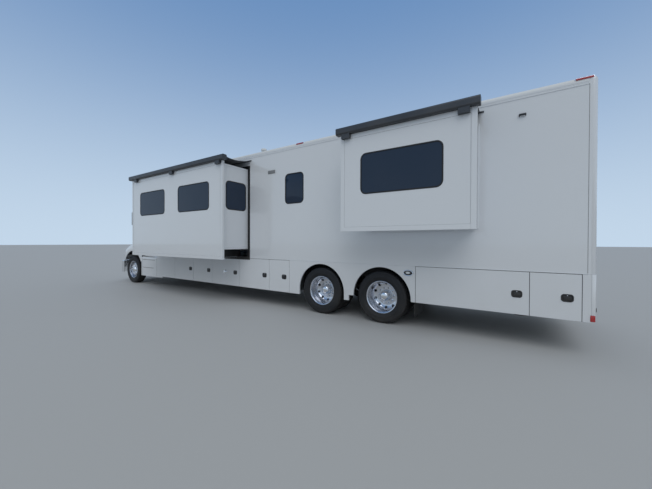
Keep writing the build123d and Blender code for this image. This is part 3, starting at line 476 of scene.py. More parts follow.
@dataclass(frozen=True)
class Cloth(Finish):
    """Coated woven cloth."""

    threads: float = 900.0

    def wire(self, wiring: Wiring, surface: bpy.types.Node) -> None:
        """Weave in the relief and a faded shade in the colour."""
        weave = self.group(wiring, Weave, {"Threads": self.threads})
        faded = tuple(0.012 + c for c in self.colour)
        wiring.put(surface.inputs["Base Color"], wiring.blend(weave.outputs["Shade"], self.colour, faded))
        wiring.put(surface.inputs["Roughness"], self.mottled(wiring))
        wiring.put(surface.inputs["Normal"], self.bumped(wiring, weave.outputs["Height"]))
        surface.inputs["Sheen Weight"].default_value = 0.2


# The body's white is written darker and bluer than the paint: painted shade and blue sky light in its colour.
BODY_WHITE = Paint("gloss white body", "body_white", (0.72, 0.75, 0.79), 0.22, 0.05, 1.2, 0.12, 1.3, 420.0,
                   0.05)
ROOF_WHITE = Finish("roof membrane", "roof_white", (0.68, 0.71, 0.74), 0.6, 0.1, 3.0, 0.1, 6.0, 160.0, 0.25)
TINTED_GLASS = DarkGlass("tinted window glass", "tinted_glass", (0.017, 0.032, 0.062), 0.05, 0.02, 2.0, 0.02,
                         6.0, 60.0, 0.01)
CAB_GLASS = ClearGlass("cab glass", "cab_glass", (0.52, 0.60, 0.63), 0.02, 0.01, 2.0, 0.04, 6.0, 60.0, 0.01)
CLEAR_LENS = ClearGlass("clear lens", "clear_lens", (0.93, 0.95, 0.97), 0.03, 0.01, 8.0, 0.03, 6.0, 90.0,
                        0.02)
RED_LENS = Paint("red lens", "lamp_lens", (0.42, 0.012, 0.012), 0.16, 0.05, 20.0, 0.05, 4.0, 900.0, 0.35)
AMBER_LENS = Paint("amber lens", "lamp_lens", (0.85, 0.27, 0.02), 0.16, 0.05, 20.0, 0.05, 4.0, 900.0, 0.35)
PALE_LENS = Paint("pale lens", "clear_lens", (0.66, 0.69, 0.72), 0.12, 0.04, 20.0, 0.05, 4.0, 900.0, 0.35)
CHARCOAL = Finish("satin charcoal", "charcoal", (0.036, 0.042, 0.052), 0.42, 0.08, 6.0, 0.22, 6.0, 500.0,
                  0.12)
BLACK_PLASTIC = Finish("black plastic", "black_plastic", (0.014, 0.014, 0.016), 0.42, 0.08, 9.0, 0.2, 1.5,
                       900.0, 0.3)
RUBBER_SEAL = Finish("rubber seal", "black_plastic", (0.012, 0.012, 0.013), 0.62, 0.08, 12.0, 0.15, 2.0,
                     500.0, 0.2)
SEALANT = Finish("seam sealant", "black_plastic", (0.22, 0.23, 0.24), 0.55, 0.08, 12.0, 0.2, 2.0, 300.0, 0.2)
POLISHED = Metal("polished aluminium", "polished_aluminium", (0.62, 0.63, 0.66), 0.22, 0.07, 7.0, 0.2, 1.1,
                 900.0, 0.06)
CHROME = Metal("chrome", "chrome", (0.84, 0.85, 0.87), 0.06, 0.02, 6.0, 0.03, 1.0, 300.0, 0.01)
TYRE_RUBBER = Finish("tyre rubber", "tyre", (0.009, 0.009, 0.010), 0.68, 0.1, 8.0, 0.10, 0.9, 260.0, 0.4)
CHASSIS_BLACK = Finish("chassis paint", "chassis", (0.022, 0.022, 0.024), 0.45, 0.12, 5.0, 0.5, 1.6, 220.0,
                       0.25)
AXLE_BLACK = Finish("axle paint", "axle_black", (0.028, 0.028, 0.03), 0.55, 0.12, 6.0, 0.5, 1.4, 160.0, 0.4)
CAST_IRON = Finish("cast iron", "cast_iron", (0.075, 0.072, 0.07), 0.62, 0.1, 8.0, 0.35, 2.0, 140.0, 0.6)
BAY_LINER = Metal("brushed sheet", "bay_liner", (0.36, 0.37, 0.38), 0.42, 0.1, 9.0, 0.35, 1.4, 350.0, 0.15)
UNIT_SHELL = Finish("moulded unit shell", "air_unit_shell", (0.66, 0.68, 0.70), 0.5, 0.07, 7.0, 0.08, 6.0,
                    420.0, 0.25)
AWNING_CASE = Paint("awning case", "awning_case", (0.64, 0.67, 0.70), 0.34, 0.06, 5.0, 0.05, 6.0, 420.0, 0.08)
CAB_TRIM = Cloth("cab trim", "cab_trim", (0.11, 0.105, 0.10), 0.75, 0.08, 12.0, 0.0, 1.0, 300.0, 0.4)
TOPPER_CLOTH = Cloth("topper cloth", "charcoal", (0.030, 0.033, 0.040), 0.68, 0.08, 7.0, 0.0, 1.0, 300.0,
                     0.35)
NODE_FINISHES = (
    BODY_WHITE, ROOF_WHITE, TINTED_GLASS, CAB_GLASS, CLEAR_LENS, RED_LENS, CHARCOAL, BLACK_PLASTIC, POLISHED,
    CHROME, TYRE_RUBBER, CHASSIS_BLACK, AXLE_BLACK, CAST_IRON, BAY_LINER, UNIT_SHELL, AWNING_CASE, CAB_TRIM,
)


# Shapes


def rounded_loop(u0: float, u1: float, v0: float, v1: float, radius: float, steps: int = 8) -> Loop:
    """Rounded rectangle as points round its outline.

    Args:
        u0: Lower limit along.
        u1: Upper limit along.
        v0: Lower limit up.
        v1: Upper limit up.
        radius: Corner radius.
        steps: Steps in each corner.

    Returns:
        The points.
    """
    radius = max(min(radius, (u1 - u0) / 2 - 1e-5, (v1 - v0) / 2 - 1e-5), 1e-4)
    corners = (
        (u1 - radius, v1 - radius, 0.0),
        (u0 + radius, v1 - radius, pi / 2),
        (u0 + radius, v0 + radius, pi),
        (u1 - radius, v0 + radius, 3 * pi / 2),
    )
    return [
        (u + radius * cos(start + pi / 2 * step / steps), v + radius * sin(start + pi / 2 * step / steps))
        for u, v, start in corners
        for step in range(steps + 1)
    ]


def growing(u0: float, u1: float, v0: float, v1: float, radius: float, steps: int = 8,
            share: float = 1.0) -> Callable[[float], Loop]:
    """Rounded rectangle that can be grown by a distance, of which its corner radius takes a share."""
    return lambda g: rounded_loop(u0 - g, u1 + g, v0 - g, v1 + g, radius + g * share, steps)


def growing_oval(u: float, v: float, half_u: float, half_v: float,
                 steps: int = 48) -> Callable[[float], Loop]:
    """Ellipse that can be grown by a distance."""
    turns = [tau * k / steps for k in range(steps)]
    return lambda g: [(u + (half_u + g) * cos(turn), v + (half_v + g) * sin(turn)) for turn in turns]


def stud(radius: float, height: float, shoulder: float, crown: float) -> Loop:
    """Profile of a low round fitting, as (distance out, radius), eased between its shoulder and its crown."""
    return [(0.0, radius), (shoulder, radius), (height, crown), (height, 0.0)]


@dataclass
class Form:
    """A mesh in the making: points in the row frame, and faces between them."""

    points: list[Vector] = field(default_factory=list)
    faces: list[tuple[int, ...]] = field(default_factory=list)

    def skin(self, rings: Sequence[Sequence[Vector]], round_ring: bool = True,
             round_row: bool = False) -> None:
        """Join a row of rings that have the same number of points.

        Args:
            rings: The rings in order.
            round_ring: Whether each ring closes on itself.
            round_row: Whether the last ring joins the first.
        """
        first = len(self.points)
        count = len(rings[0])
        for ring in rings:
            self.points.extend(ring)
        for row in range(len(rings) if round_row else len(rings) - 1):
            a = first + row * count
            b = first + (row + 1) % len(rings) * count
            for k in range(count if round_ring else count - 1):
                n = (k + 1) % count
                self.faces.append((a + k, a + n, b + n, b + k))

    def lid(self, ring: Sequence[Vector]) -> None:
        """Close a ring with one face of its own points."""
        first = len(self.points)
        self.points.extend(ring)
        self.faces.append(tuple(range(first, first + len(ring))))

    def capped(self, rings: Sequence[Sequence[Vector]]) -> None:
        """Join a row of rings and close its two ends."""
        self.skin(rings)
        self.lid(rings[0])
        self.lid(rings[-1])

    def block(self, low: Vector, high: Vector) -> None:
        """Box between two corners."""
        x0, y0, z0 = (min(a, b) for a, b in zip(low, high))
        x1, y1, z1 = (max(a, b) for a, b in zip(low, high))
        first = len(self.points)
        self.points += [Vector((x, y, z)) for z in (z0, z1)
                        for x, y in ((x0, y0), (x1, y0), (x1, y1), (x0, y1))]
        for quad in ((0, 3, 2, 1), (4, 5, 6, 7), (0, 1, 5, 4), (1, 2, 6, 5), (2, 3, 7, 6), (3, 0, 4, 7)):
            self.faces.append(tuple(first + k for k in quad))

    def slab(self, face: Face, u0: float, u1: float, v0: float, v1: float, n0: float, n1: float) -> None:
        """Box on a face, between two limits each way."""
        self.block(face.point(u0, v0, n0), face.point(u1, v1, n1))

    def risen(self, face: Face, loop: Callable[[float], Loop], rows: Sequence[tuple[float, float]]) -> None:
        """Closed body on a face, whose outline changes on its way out.

        Args:
            face: What it stands on.
            loop: Gives the outline, grown by a distance.
            rows: Its steps, as (growth, height out of the face).
        """
        self.capped([[face.point(u, v, n) for u, v in loop(grow)] for grow, n in rows])

    def plate(self, face: Face, loop: Callable[[float], Loop], n0: float, n1: float,
              edge: float = 0.002) -> None:
        """Solid plate with an eased front edge.

        Args:
            face: What it stands on.
            loop: Gives the outline, grown by a distance.
            n0: Back of the plate.
            n1: Front of the plate.
            edge: Size of the eased edge.
        """
        self.risen(face, loop, ((0.0, n0), (0.0, n1 - edge), (-0.3 * edge, n1 - 0.3 * edge), (-edge, n1)))

    def panel(self, face: Face, u0: float, u1: float, v0: float, v1: float, radius: float, n0: float,
              n1: float, edge: float = 0.002) -> None:
        """Rounded rectangular plate on a face."""
        self.plate(face, growing(u0, u1, v0, v1, radius), n0, n1, edge)

    def rim(self, face: Face, loop: Callable[[float], Loop], section: Sequence[tuple[float, float]]) -> None:
        """Moulding that runs round an outline.

        Args:
            face: What it stands on.
            loop: Gives the outline, grown by a distance.
            section: The moulding's own section, as (growth, height out of the face).
        """
        rings = [[face.point(u, v, n) for u, v in loop(grow)] for grow, n in section]
        self.skin(rings, round_row=True)

    def gasket(self, face: Face, u0: float, u1: float, v0: float, v1: float, radius: float, width: float,
               height: float) -> None:
        """Rounded frame that laps an opening by its width, inside and out in equal parts."""
        half = width / 2
        section = ((-half, -0.004), (-half, height * 0.5), (-half * 0.5, height), (half * 0.5, height),
                   (half, height * 0.4), (half, -0.001))
        self.rim(face, growing(u0, u1, v0, v1, radius), section)

    def turned(self, centre: Vector, out: Vector, profile: Sequence[tuple[float, float]], steps: int = 48,
               closed: bool = False, shape: Optional[Callable[[int, int], float]] = None) -> None:
        """Turn a profile round an axis.

        Args:
            centre: A point of the axis.
            out: The axis's direction.
            profile: Points as (distance along the axis, radius).
            steps: Steps round the axis.
            closed: Whether the profile closes on itself.
            shape: Change of radius for a profile point's number and a step's number.
        """
        out = out.normalized()
        across = out.orthogonal().normalized()
        other = out.cross(across)
        rings = []
        for number, (along, radius) in enumerate(profile):
            ring = []
            for step in range(steps):
                turn = tau * step / steps
                r = radius + (shape(number, step) if shape else 0.0)
                ring.append(centre + out * along + (across * cos(turn) + other * sin(turn)) * r)
            rings.append(ring)
        self.skin(rings, round_row=closed)
        if not closed:
            if profile[0][1] > 1e-6:
                self.lid(rings[0])
            if profile[-1][1] > 1e-6:
                self.lid(rings[-1])

    def tube(self, path: Sequence[Vector], radius: float, steps: int = 12) -> None:
        """Round tube along a path of points, closed at both ends."""
        rings = []
        side = (path[1] - path[0]).orthogonal().normalized()
        for number, point in enumerate(path):
            ahead = path[min(number + 1, len(path) - 1)] - path[max(number - 1, 0)]
            ahead.normalize()
            side = (side - ahead * side.dot(ahead)).normalized()
            other = ahead.cross(side)
            rings.append([point + (side * cos(tau * k / steps) + other * sin(tau * k / steps)) * radius
                          for k in range(steps)])
        self.capped(rings)

    def moved(self, matrix: Matrix) -> "Form":
        """Copy of the form under a transform."""
        return Form([matrix @ p for p in self.points], list(self.faces))

    def add(self, other: "Form") -> None:
        """Take in another form's mesh."""
        first = len(self.points)
        self.points += other.points
        self.faces += [tuple(first + k for k in f) for f in other.faces]

    def mesh(self, name: str, smooth: float) -> bpy.types.Mesh:
        """Mesh of the form, its edges sharp past an angle in degrees."""
        mesh = bpy.data.meshes.new(name)
        mesh.from_pydata(self.points, [], self.faces)
        mesh.validate()
        outward(mesh)
        mesh.shade_smooth()
        mesh.set_sharp_from_angle(angle=radians(smooth))
        return mesh

    def piece(self, name: str, body: str, finish: Finish, replaces: Sequence[str] = (), ease: float = 0.0,
              smooth: float = 35.0) -> bpy.types.Object:
        """Make the form a piece of the vehicle.

        Args:
            name: The piece's name.
            body: The CAD body it moves with.
            finish: Its finish.
            replaces: CAD nodes it stands for.
            ease: Width of the bevel on its edges.
            smooth: Angle past which an edge is sharp.

        Returns:
            The object.
        """
        obj = placed(name, self.mesh(name, smooth), body, finish, replaces)
        if ease:
            bevel(obj, ease)
        return obj


def linked(name: str, data: bpy.types.ID) -> bpy.types.Object:
    """New object of the scene that holds a mesh, a camera or a light."""
    obj = bpy.data.objects.new(name, data)
    bpy.context.scene.collection.objects.link(obj)
    return obj


def placed(name: str, mesh: bpy.types.Mesh, body: str, finish: Finish,
           replaces: Sequence[str] = ()) -> bpy.types.Object:
    """Make a mesh a piece of the vehicle.

    Args:
        name: The piece's name.
        mesh: Its mesh in the row frame.
        body: The CAD body it moves with.
        finish: Its finish.
        replaces: CAD nodes it stands for.

    Returns:
        The object.
    """
    mesh.name = name
    mesh.materials.clear()
    mesh.materials.append(finish.material())
    obj = linked(name, mesh)
    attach(obj, body)
    if replaces:
        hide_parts(*replaces)
    log.info("%s: %d faces on %s", name, len(mesh.polygons), body)
    return obj


def thicken(obj: bpy.types.Object, thickness: float) -> None:
    """Give a sheet its thickness, inward from its face."""
    modifier = obj.modifiers.new("thickness", "SOLIDIFY")
    modifier.thickness = thickness
    modifier.offset = -1.0


def settled(obj: bpy.types.Object) -> bpy.types.Mesh:
    """Mesh of an object with its modifiers applied. The object itself is removed."""
    bpy.context.view_layer.update()
    mesh = bpy.data.meshes.new_from_object(obj.evaluated_get(bpy.context.evaluated_depsgraph_get()))
    bpy.data.objects.remove(obj)
    return mesh


def carved(blank: bpy.types.Object, cutters: Form, overlapping: bool = False) -> bpy.types.Mesh:
    """Take cutters out of an object.

    Args:
        blank: The object, which is used up.
        cutters: What is cut out of it.
        overlapping: Whether the object's own parts run into each other.

    Returns:
        The mesh that is left.
    """
    cutter = linked("cutters", cutters.mesh("cutters", CARVED_SMOOTH))
    cut = blank.modifiers.new("cut", "BOOLEAN")
    cut.operation = "DIFFERENCE"
    cut.object = cutter
    cut.use_self = overlapping
    cut.solver = "EXACT"
    mesh = settled(blank)
    bpy.data.objects.remove(cutter)
    mesh.shade_smooth()
    mesh.set_sharp_from_angle(angle=radians(CARVED_SMOOTH))
    return mesh


def outward(mesh: bpy.types.Mesh) -> None:
    """Merge points that coincide and turn the faces' normals outward, also those of an open shell."""
    work = bmesh.new()
    work.from_mesh(mesh)
    bmesh.ops.remove_doubles(work, verts=work.verts, dist=1e-6)
    bmesh.ops.recalc_face_normals(work, faces=work.faces)
    if any(edge.is_boundary for edge in work.edges):
        middle = sum((vertex.co for vertex in work.verts), Vector()) / len(work.verts)
        outness = sum(f.calc_area() * f.normal.dot(f.calc_center_median() - middle) for f in work.faces)
        if outness < 0:
            bmesh.ops.reverse_faces(work, faces=work.faces)
    work.to_mesh(mesh)
    work.free()


def bevel(obj: bpy.types.Object, width: float, angle: float = 40.0) -> None:
    """Round off a piece's sharp edges."""
    modifier = obj.modifiers.new("eased edges", "BEVEL")
    modifier.width = width
    modifier.segments = 2
    modifier.limit_method = "ANGLE"
    modifier.angle_limit = radians(angle)
    modifier.harden_normals = True


def clean(obj: bpy.types.Object, ease: float) -> None:
    """Join the corners of a CAD solid's mesh, make each of its planes one face and ease its edges."""
    obj.modifiers.new("joined corners", "WELD").merge_threshold = 1e-5
    flat = obj.modifiers.new("one face per plane", "DECIMATE")
    flat.decimate_type = "DISSOLVE"
    flat.angle_limit = radians(0.3)
    bevel(obj, ease, 38.0)


def solids(node: str) -> list[tuple[Vector, Vector]]:
    """Boxes of the separate solids in a CAD node, as (lowest corner, highest corner)."""
    mesh = frame["nodes"][node].data
    keys = [tuple(round(c, 5) for c in v.co) for v in mesh.vertices]
    parent = {key: key for key in keys}

    def root(key: tuple[float, ...]) -> tuple[float, ...]:
        """First key of the solid that a point belongs to."""
        while parent[key] != key:
            parent[key] = parent[parent[key]]
            key = parent[key]
        return key

    for polygon in mesh.polygons:
        corners = [keys[v] for v in polygon.vertices]
        for corner in corners[1:]:
            parent[root(corner)] = root(corners[0])
    groups: dict[tuple[float, ...], list[tuple[float, ...]]] = {}
    for key in parent:
        groups.setdefault(root(key), []).append(key)
    return sorted(
        ((Vector(map(min, *group)), Vector(map(max, *group))) for group in groups.values()),
        key=lambda box: (box[0].x, box[0].y, box[0].z),
    )


# Sub-assemblies


@dataclass
class CarriedNodes:
    """The CAD nodes that show as they are, with their finishes and eased edges."""

    ease: float = 0.004
    eases: dict[str, float] = field(default_factory=lambda: {
        "cab_shell": 0.016, "front_bumper": 0.012, "patio_awning": 0.010, "mirrors": 0.010, "grille": 0.003})

    def dress(self) -> None:
        """Give each node the finish of its slot."""
        finishes = {finish.slot: finish for finish in NODE_FINISHES}
        for part in frame["record"]["subparts"]:
            node = frame["nodes"][part["node"]]
            finish = finishes[part["material_slot"]]
            node.data.materials.clear()
            node.data.materials.append(finish.material())
            clean(node, self.eases.get(part["node"], self.ease))
            log.info("%s carried in %s", part["node"], finish.name)


@dataclass
class CoachTrim:
    """Mouldings, seams and small fittings on the outside of the coach."""

    layout: Layout
    rail_foot: float = 3.536
    rail_top: float = 3.592
    rail_proud: float = 0.006
    belt: float = 1.084
    belt_height: float = 0.016
    post_seam: float = 0.09
    seam_width: float = 0.004
    edge_lamps: Knots = ((4.71, 4.92), (0.04, 0.24))
    rail_run: tuple[float, float] = (0.088, 10.745)
    belt_start: float = 0.095
    belt_gap: float = 0.05

    def build(self) -> None:
        """Make every fitting."""
        self.rails()
        self.seams()
        self.marker_lamps()
        self.small_fittings()

    def rails(self) -> None:
        """Roof-edge rails with their screw cover, and the belt moulding above the bay doors."""
        form = Form()
        cover = Form()
        for hand in Hand:
            face = self.layout.wall(hand)
            middle = (self.rail_foot + self.rail_top) / 2
            extrude(form, face, (
                (self.rail_foot, 0.0), (self.rail_foot, self.rail_proud), (middle - 0.009, self.rail_proud),
                (middle - 0.007, self.rail_proud * 0.5), (middle + 0.007, self.rail_proud * 0.5),
                (middle + 0.009, self.rail_proud), (self.rail_top, self.rail_proud), (self.rail_top, 0.0),
            ), *self.rail_run)
            extrude(cover, face, (
                (middle - 0.006, self.rail_proud * 0.4), (middle - 0.004, self.rail_proud * 0.8),
                (middle + 0.004, self.rail_proud * 0.8), (middle + 0.006, self.rail_proud * 0.4),
            ), self.rail_run[0] + 0.002, self.rail_run[1] - 0.002)
            for start, end in self.belt_runs(hand):
                extrude(form, face, (
                    (self.belt, 0.0), (self.belt, 0.003), (self.belt + 0.003, 0.004),
                    (self.belt + self.belt_height, 0.001), (self.belt + self.belt_height, 0.0),
                ), start, end)
        form.piece("coach_mouldings", "coach", BODY_WHITE)
        cover.piece("rail_covers", "coach", BODY_WHITE)

    def belt_runs(self, hand: Hand) -> Knots:
        """Stations between which the belt moulding runs on a side."""
        start, end = frame_station_box("slide_front_room" if hand is Hand.LEFT else "entry_door")[:2]
        return (self.belt_start, start - self.belt_gap), (end + self.belt_gap, self.rail_run[1])

    def seams(self) -> None:
        """Sealant lines at the corner posts, the nose cap and between the wall panels."""
        form = Form()
        half = self.seam_width / 2
        for hand in Hand:
            face = self.layout.wall(hand)
            for station in (self.post_seam, 10.7):
                form.slab(face, station - half, station + half, 1.10, self.rail_foot, -0.001, 0.0012)
        rear = self.layout.end(0, forward=False)
        for side in (-1.13, 1.13):
            form.slab(rear, side - half, side + half, 1.09, 3.58, -0.001, 0.0012)
        form.slab(rear, -1.23, 1.23, 1.088, 1.088 + self.seam_width, -0.001, 0.0012)
        form.piece("seam_sealant", "coach", SEALANT)

    def marker_lamps(self) -> None:
        """Red lamps on the roof's edge and reflectors at the rear corners."""
        bases, lenses = Form(), Form()
        for hand in Hand:
            face = self.layout.wall(hand)
            for start, end in self.edge_lamps:
                bases.panel(face, start, end, 3.607, 3.641, 0.015, -0.045, -0.004, 0.003)
                lenses.panel(face, start + 0.008, end - 0.008, 3.612, 3.636, 0.011, -0.01, 0.008, 0.006)
            lenses.panel(face, 0.012, 0.062, 0.474, 0.556, 0.008, -0.002, 0.006, 0.002)
        bases.piece("marker_lamp_bases", "coach", CHROME)
        lenses.piece("marker_lamp_lenses", "coach", RED_LENS)

    def small_fittings(self) -> None:
        """Scene lamp and the blank cover plate on the driver's side."""
        for name, finish, panel in (
            ("side_lamp_housings", BLACK_PLASTIC, (0.762, 0.85, 3.285, 3.318, 0.008, -0.002, 0.03, 0.006)),
            ("side_lamp_lens", PALE_LENS, (0.775, 0.837, 3.2825, 3.288, 0.002, 0.006, 0.026, 0.001)),
            ("blank_plate", SEALANT, (5.53, 5.755, 3.07, 3.15, 0.012, -0.001, 0.004, 0.002)),
        ):
            form = Form()
            form.panel(self.layout.wall(Hand.LEFT), *panel)
            form.piece(name, "coach", finish)


def extrude(form: Form, face: Face, section: Sequence[tuple[float, float]], start: float, end: float) -> None:
    """Run a closed section along a face.

    Args:
        form: The form that takes it.
        face: What it lies on.
        section: The section, as (height on the face, distance out of it).
        start: Where along the face it starts.
        end: Where it ends.
    """
    form.capped([[face.point(u, v, n) for v, n in section] for u in (start, end)])


def frame_station_box(node: str) -> tuple[float, float, float, float]:
    """Start and end stations and the foot and top of a CAD node."""
    low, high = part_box(node)
    return LAYOUT.station(low.x), LAYOUT.station(high.x), low.z, high.z


LAYOUT = Layout.read()


@dataclass
class Panes:
    """Coach panes, the windshield, and the rubber frames of all windows."""

    layout: Layout
    corner: float = 0.09
    frame_width: float = 0.022
    frame_proud: float = 0.006

    def build(self) -> None:
        """Replace the panes' node and frame every opening."""
        glass = Form()
        frames = Form()
        for low, high in solids("windows"):
            if high.y - low.y > 0.5:
                self.windshield(low, high)
                continue
            face = self.layout.wall(self.layout.hand(low.y))
            self.pane(glass, face, low, high)
            self.surround(frames, face, low, high)
        glass.piece("coach_panes", "coach", TINTED_GLASS, replaces=("windows",))
        frames.piece("coach_window_frames", "coach", RUBBER_SEAL)
        for node, body in (("slide_front_glass", "slide_front"), ("slide_rear_glass", "slide_rear")):
            self.slide_panes(node, body)
        door = Form()
        low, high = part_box("entry_glass")
        self.surround(door, self.layout.wall(Hand.RIGHT), low, high)
        door.piece("entry_window_frame", "entry_door", RUBBER_SEAL)

    def limits(self, low: Vector, high: Vector) -> tuple[float, float, float, float]:
        """Stations and heights of a pane's box."""
        return self.layout.station(low.x), self.layout.station(high.x), low.z, high.z

    def pane(self, form: Form, face: Face, low: Vector, high: Vector) -> None:
        """Pane let into its frame, just under the wall's face."""
        u0, u1, v0, v1 = self.limits(low, high)
        form.panel(face, u0, u1, v0, v1, self.corner, -0.022, -0.002, 0.001)

    def surround(self, form: Form, face: Face, low: Vector, high: Vector) -> None:
        """Rubber frame round a pane."""
        u0, u1, v0, v1 = self.limits(low, high)
        form.gasket(face, u0, u1, v0, v1, self.corner, self.frame_width, self.frame_proud)

    def slide_panes(self, node: str, body: str) -> None:
        """Frames of a slide-out's panes, in its face and in its end wall."""
        frames = Form()
        for low, high in solids(node):
            if high.x - low.x > 0.2:
                self.surround(frames, self.layout.flank(Hand.LEFT, high.y - self.layout.middle), low, high)
            else:
                face = self.layout.end(self.layout.station(low.x), forward=False)
                frames.gasket(face, low.y - self.layout.middle, high.y - self.layout.middle, low.z, high.z,
                              self.corner, self.frame_width, self.frame_proud)
        frames.piece(f"{body}_window_frames", body, RUBBER_SEAL)

    def windshield(self, low: Vector, high: Vector) -> None:
        """Windshield on its slope, with a dark border and a rubber frame."""
        slope = Vector((low.x - high.x, 0, high.z - low.z)).normalized()
        out = Vector((slope.z, 0, -slope.x))
        middle = (low + high) / 2
        length = Vector((high.x - low.x, 0, high.z - low.z)).length
        half = (high.y - low.y) / 2
        face = Face(Vector((middle.x, self.layout.middle, middle.z)) + out * 0.004, LEFTWARD, slope, out)
        glass, border, seal = Form(), Form(), Form()
        glass.panel(face, -half, half, -length / 2, length / 2, 0.08, -0.003, 0.002, 0.001)
        glass.piece("windshield", "coach", CAB_GLASS, replaces=("windows",))
        section = ((-0.055, -0.0042), (-0.055, -0.0036), (0.0, -0.0036), (0.0, -0.0042))
        border.rim(face, growing(-half, half, -length / 2, length / 2, 0.08), section)
        border.piece("windshield_border", "coach", BLACK_PLASTIC)
        seal.gasket(face, -half, half, -length / 2, length / 2, 0.08, 0.04, 0.014)
        seal.piece("windshield_seal", "coach", RUBBER_SEAL)


@dataclass
class BayDoors:
    """Latches, seals and edges of the storage bay doors."""

    layout: Layout
    latch_setback: float = 0.147
    latch_share: float = 0.48
    latch_width: float = 0.135
    latch_height: float = 0.105
    latch_corner: float = 0.036
    two_latches_from: float = 1.3
    seal_depth: tuple[float, float] = (-0.034, -0.006)
    filler_place: tuple[float, float] = (7.30, 0.695)

    def build(self) -> None:
        """Dress each door."""
        seals = Form()
        for name in sorted(n for n in frame["nodes"] if n.startswith("bay_door_")):
            u0, u1, v0, v1 = frame_station_box(name)
            hand = Hand.LEFT if "left" in name else Hand.RIGHT
            face = self.layout.wall(hand)
            height = v0 + self.latch_share * (v1 - v0)
            self.latch(name, face, u0 + self.latch_setback, height)
            if hand is Hand.RIGHT and u1 - u0 > self.two_latches_from:
                self.latch(name + "_second", face, u1 - self.latch_setback * 1.6, height, name)
            for limits in ((u0 - 0.0055, u0 - 0.0005, v0, v1), (u1 + 0.0005, u1 + 0.0055, v0, v1),
                           (u0 - 0.005, u1 + 0.005, v1 + 0.0005, v1 + 0.0055)):
                seals.slab(face, *limits, *self.seal_depth)
        seals.piece("bay_door_seals", "coach", RUBBER_SEAL)
        self.filler()

    def latch(self, name: str, face: Face, station: float, height: float, body: str = "") -> None:
        """Paddle latch: a dished black cup with a paddle and a key barrel.

        Args:
            name: The piece's first word.
            face: The door's outside.
            station: Middle of the latch along the coach.
            height: Its middle's height.
            body: The CAD body, if it isn't the name.
        """
        half_u, half_v = self.latch_width / 2, self.latch_height / 2
        cup = Form()
        rows = ((0.0, -0.001), (0.0, 0.004), (-0.004, 0.007), (-0.010, 0.007), (-0.016, 0.001))
        outline = growing(station - half_u, station + half_u, height - half_v, height + half_v,
                          self.latch_corner, share=0.5)
        cup.risen(face, outline, rows)
        cup.panel(face, station - half_u + 0.026, station + half_u - 0.026, height - half_v + 0.022,
                  height + half_v - 0.03, 0.008, 0.0, 0.010, 0.004)
        cup.piece(name + "_latch", body or name, BLACK_PLASTIC)
        barrel = Form()
        barrel.turned(face.point(station, height + half_v - 0.02, 0.001), face.out,
                      stud(0.007, 0.0075, 0.006, 0.0055), 20)
        barrel.piece(name + "_lock", body or name, CHROME)

    def filler(self) -> None:
        """Round filler cap on the fifth door of the driver's side."""
        face = self.layout.wall(Hand.LEFT)
        cap = Form()
        cap.turned(face.point(*self.filler_place), face.out, (
            (-0.001, 0.062), (0.005, 0.062), (0.009, 0.058), (0.009, 0.050), (0.005, 0.047), (0.014, 0.043),
            (0.022, 0.036), (0.025, 0.020), (0.026, 0.0),
        ), 48)
        cap.piece("filler_cap", "bay_door_left_5", CHROME)


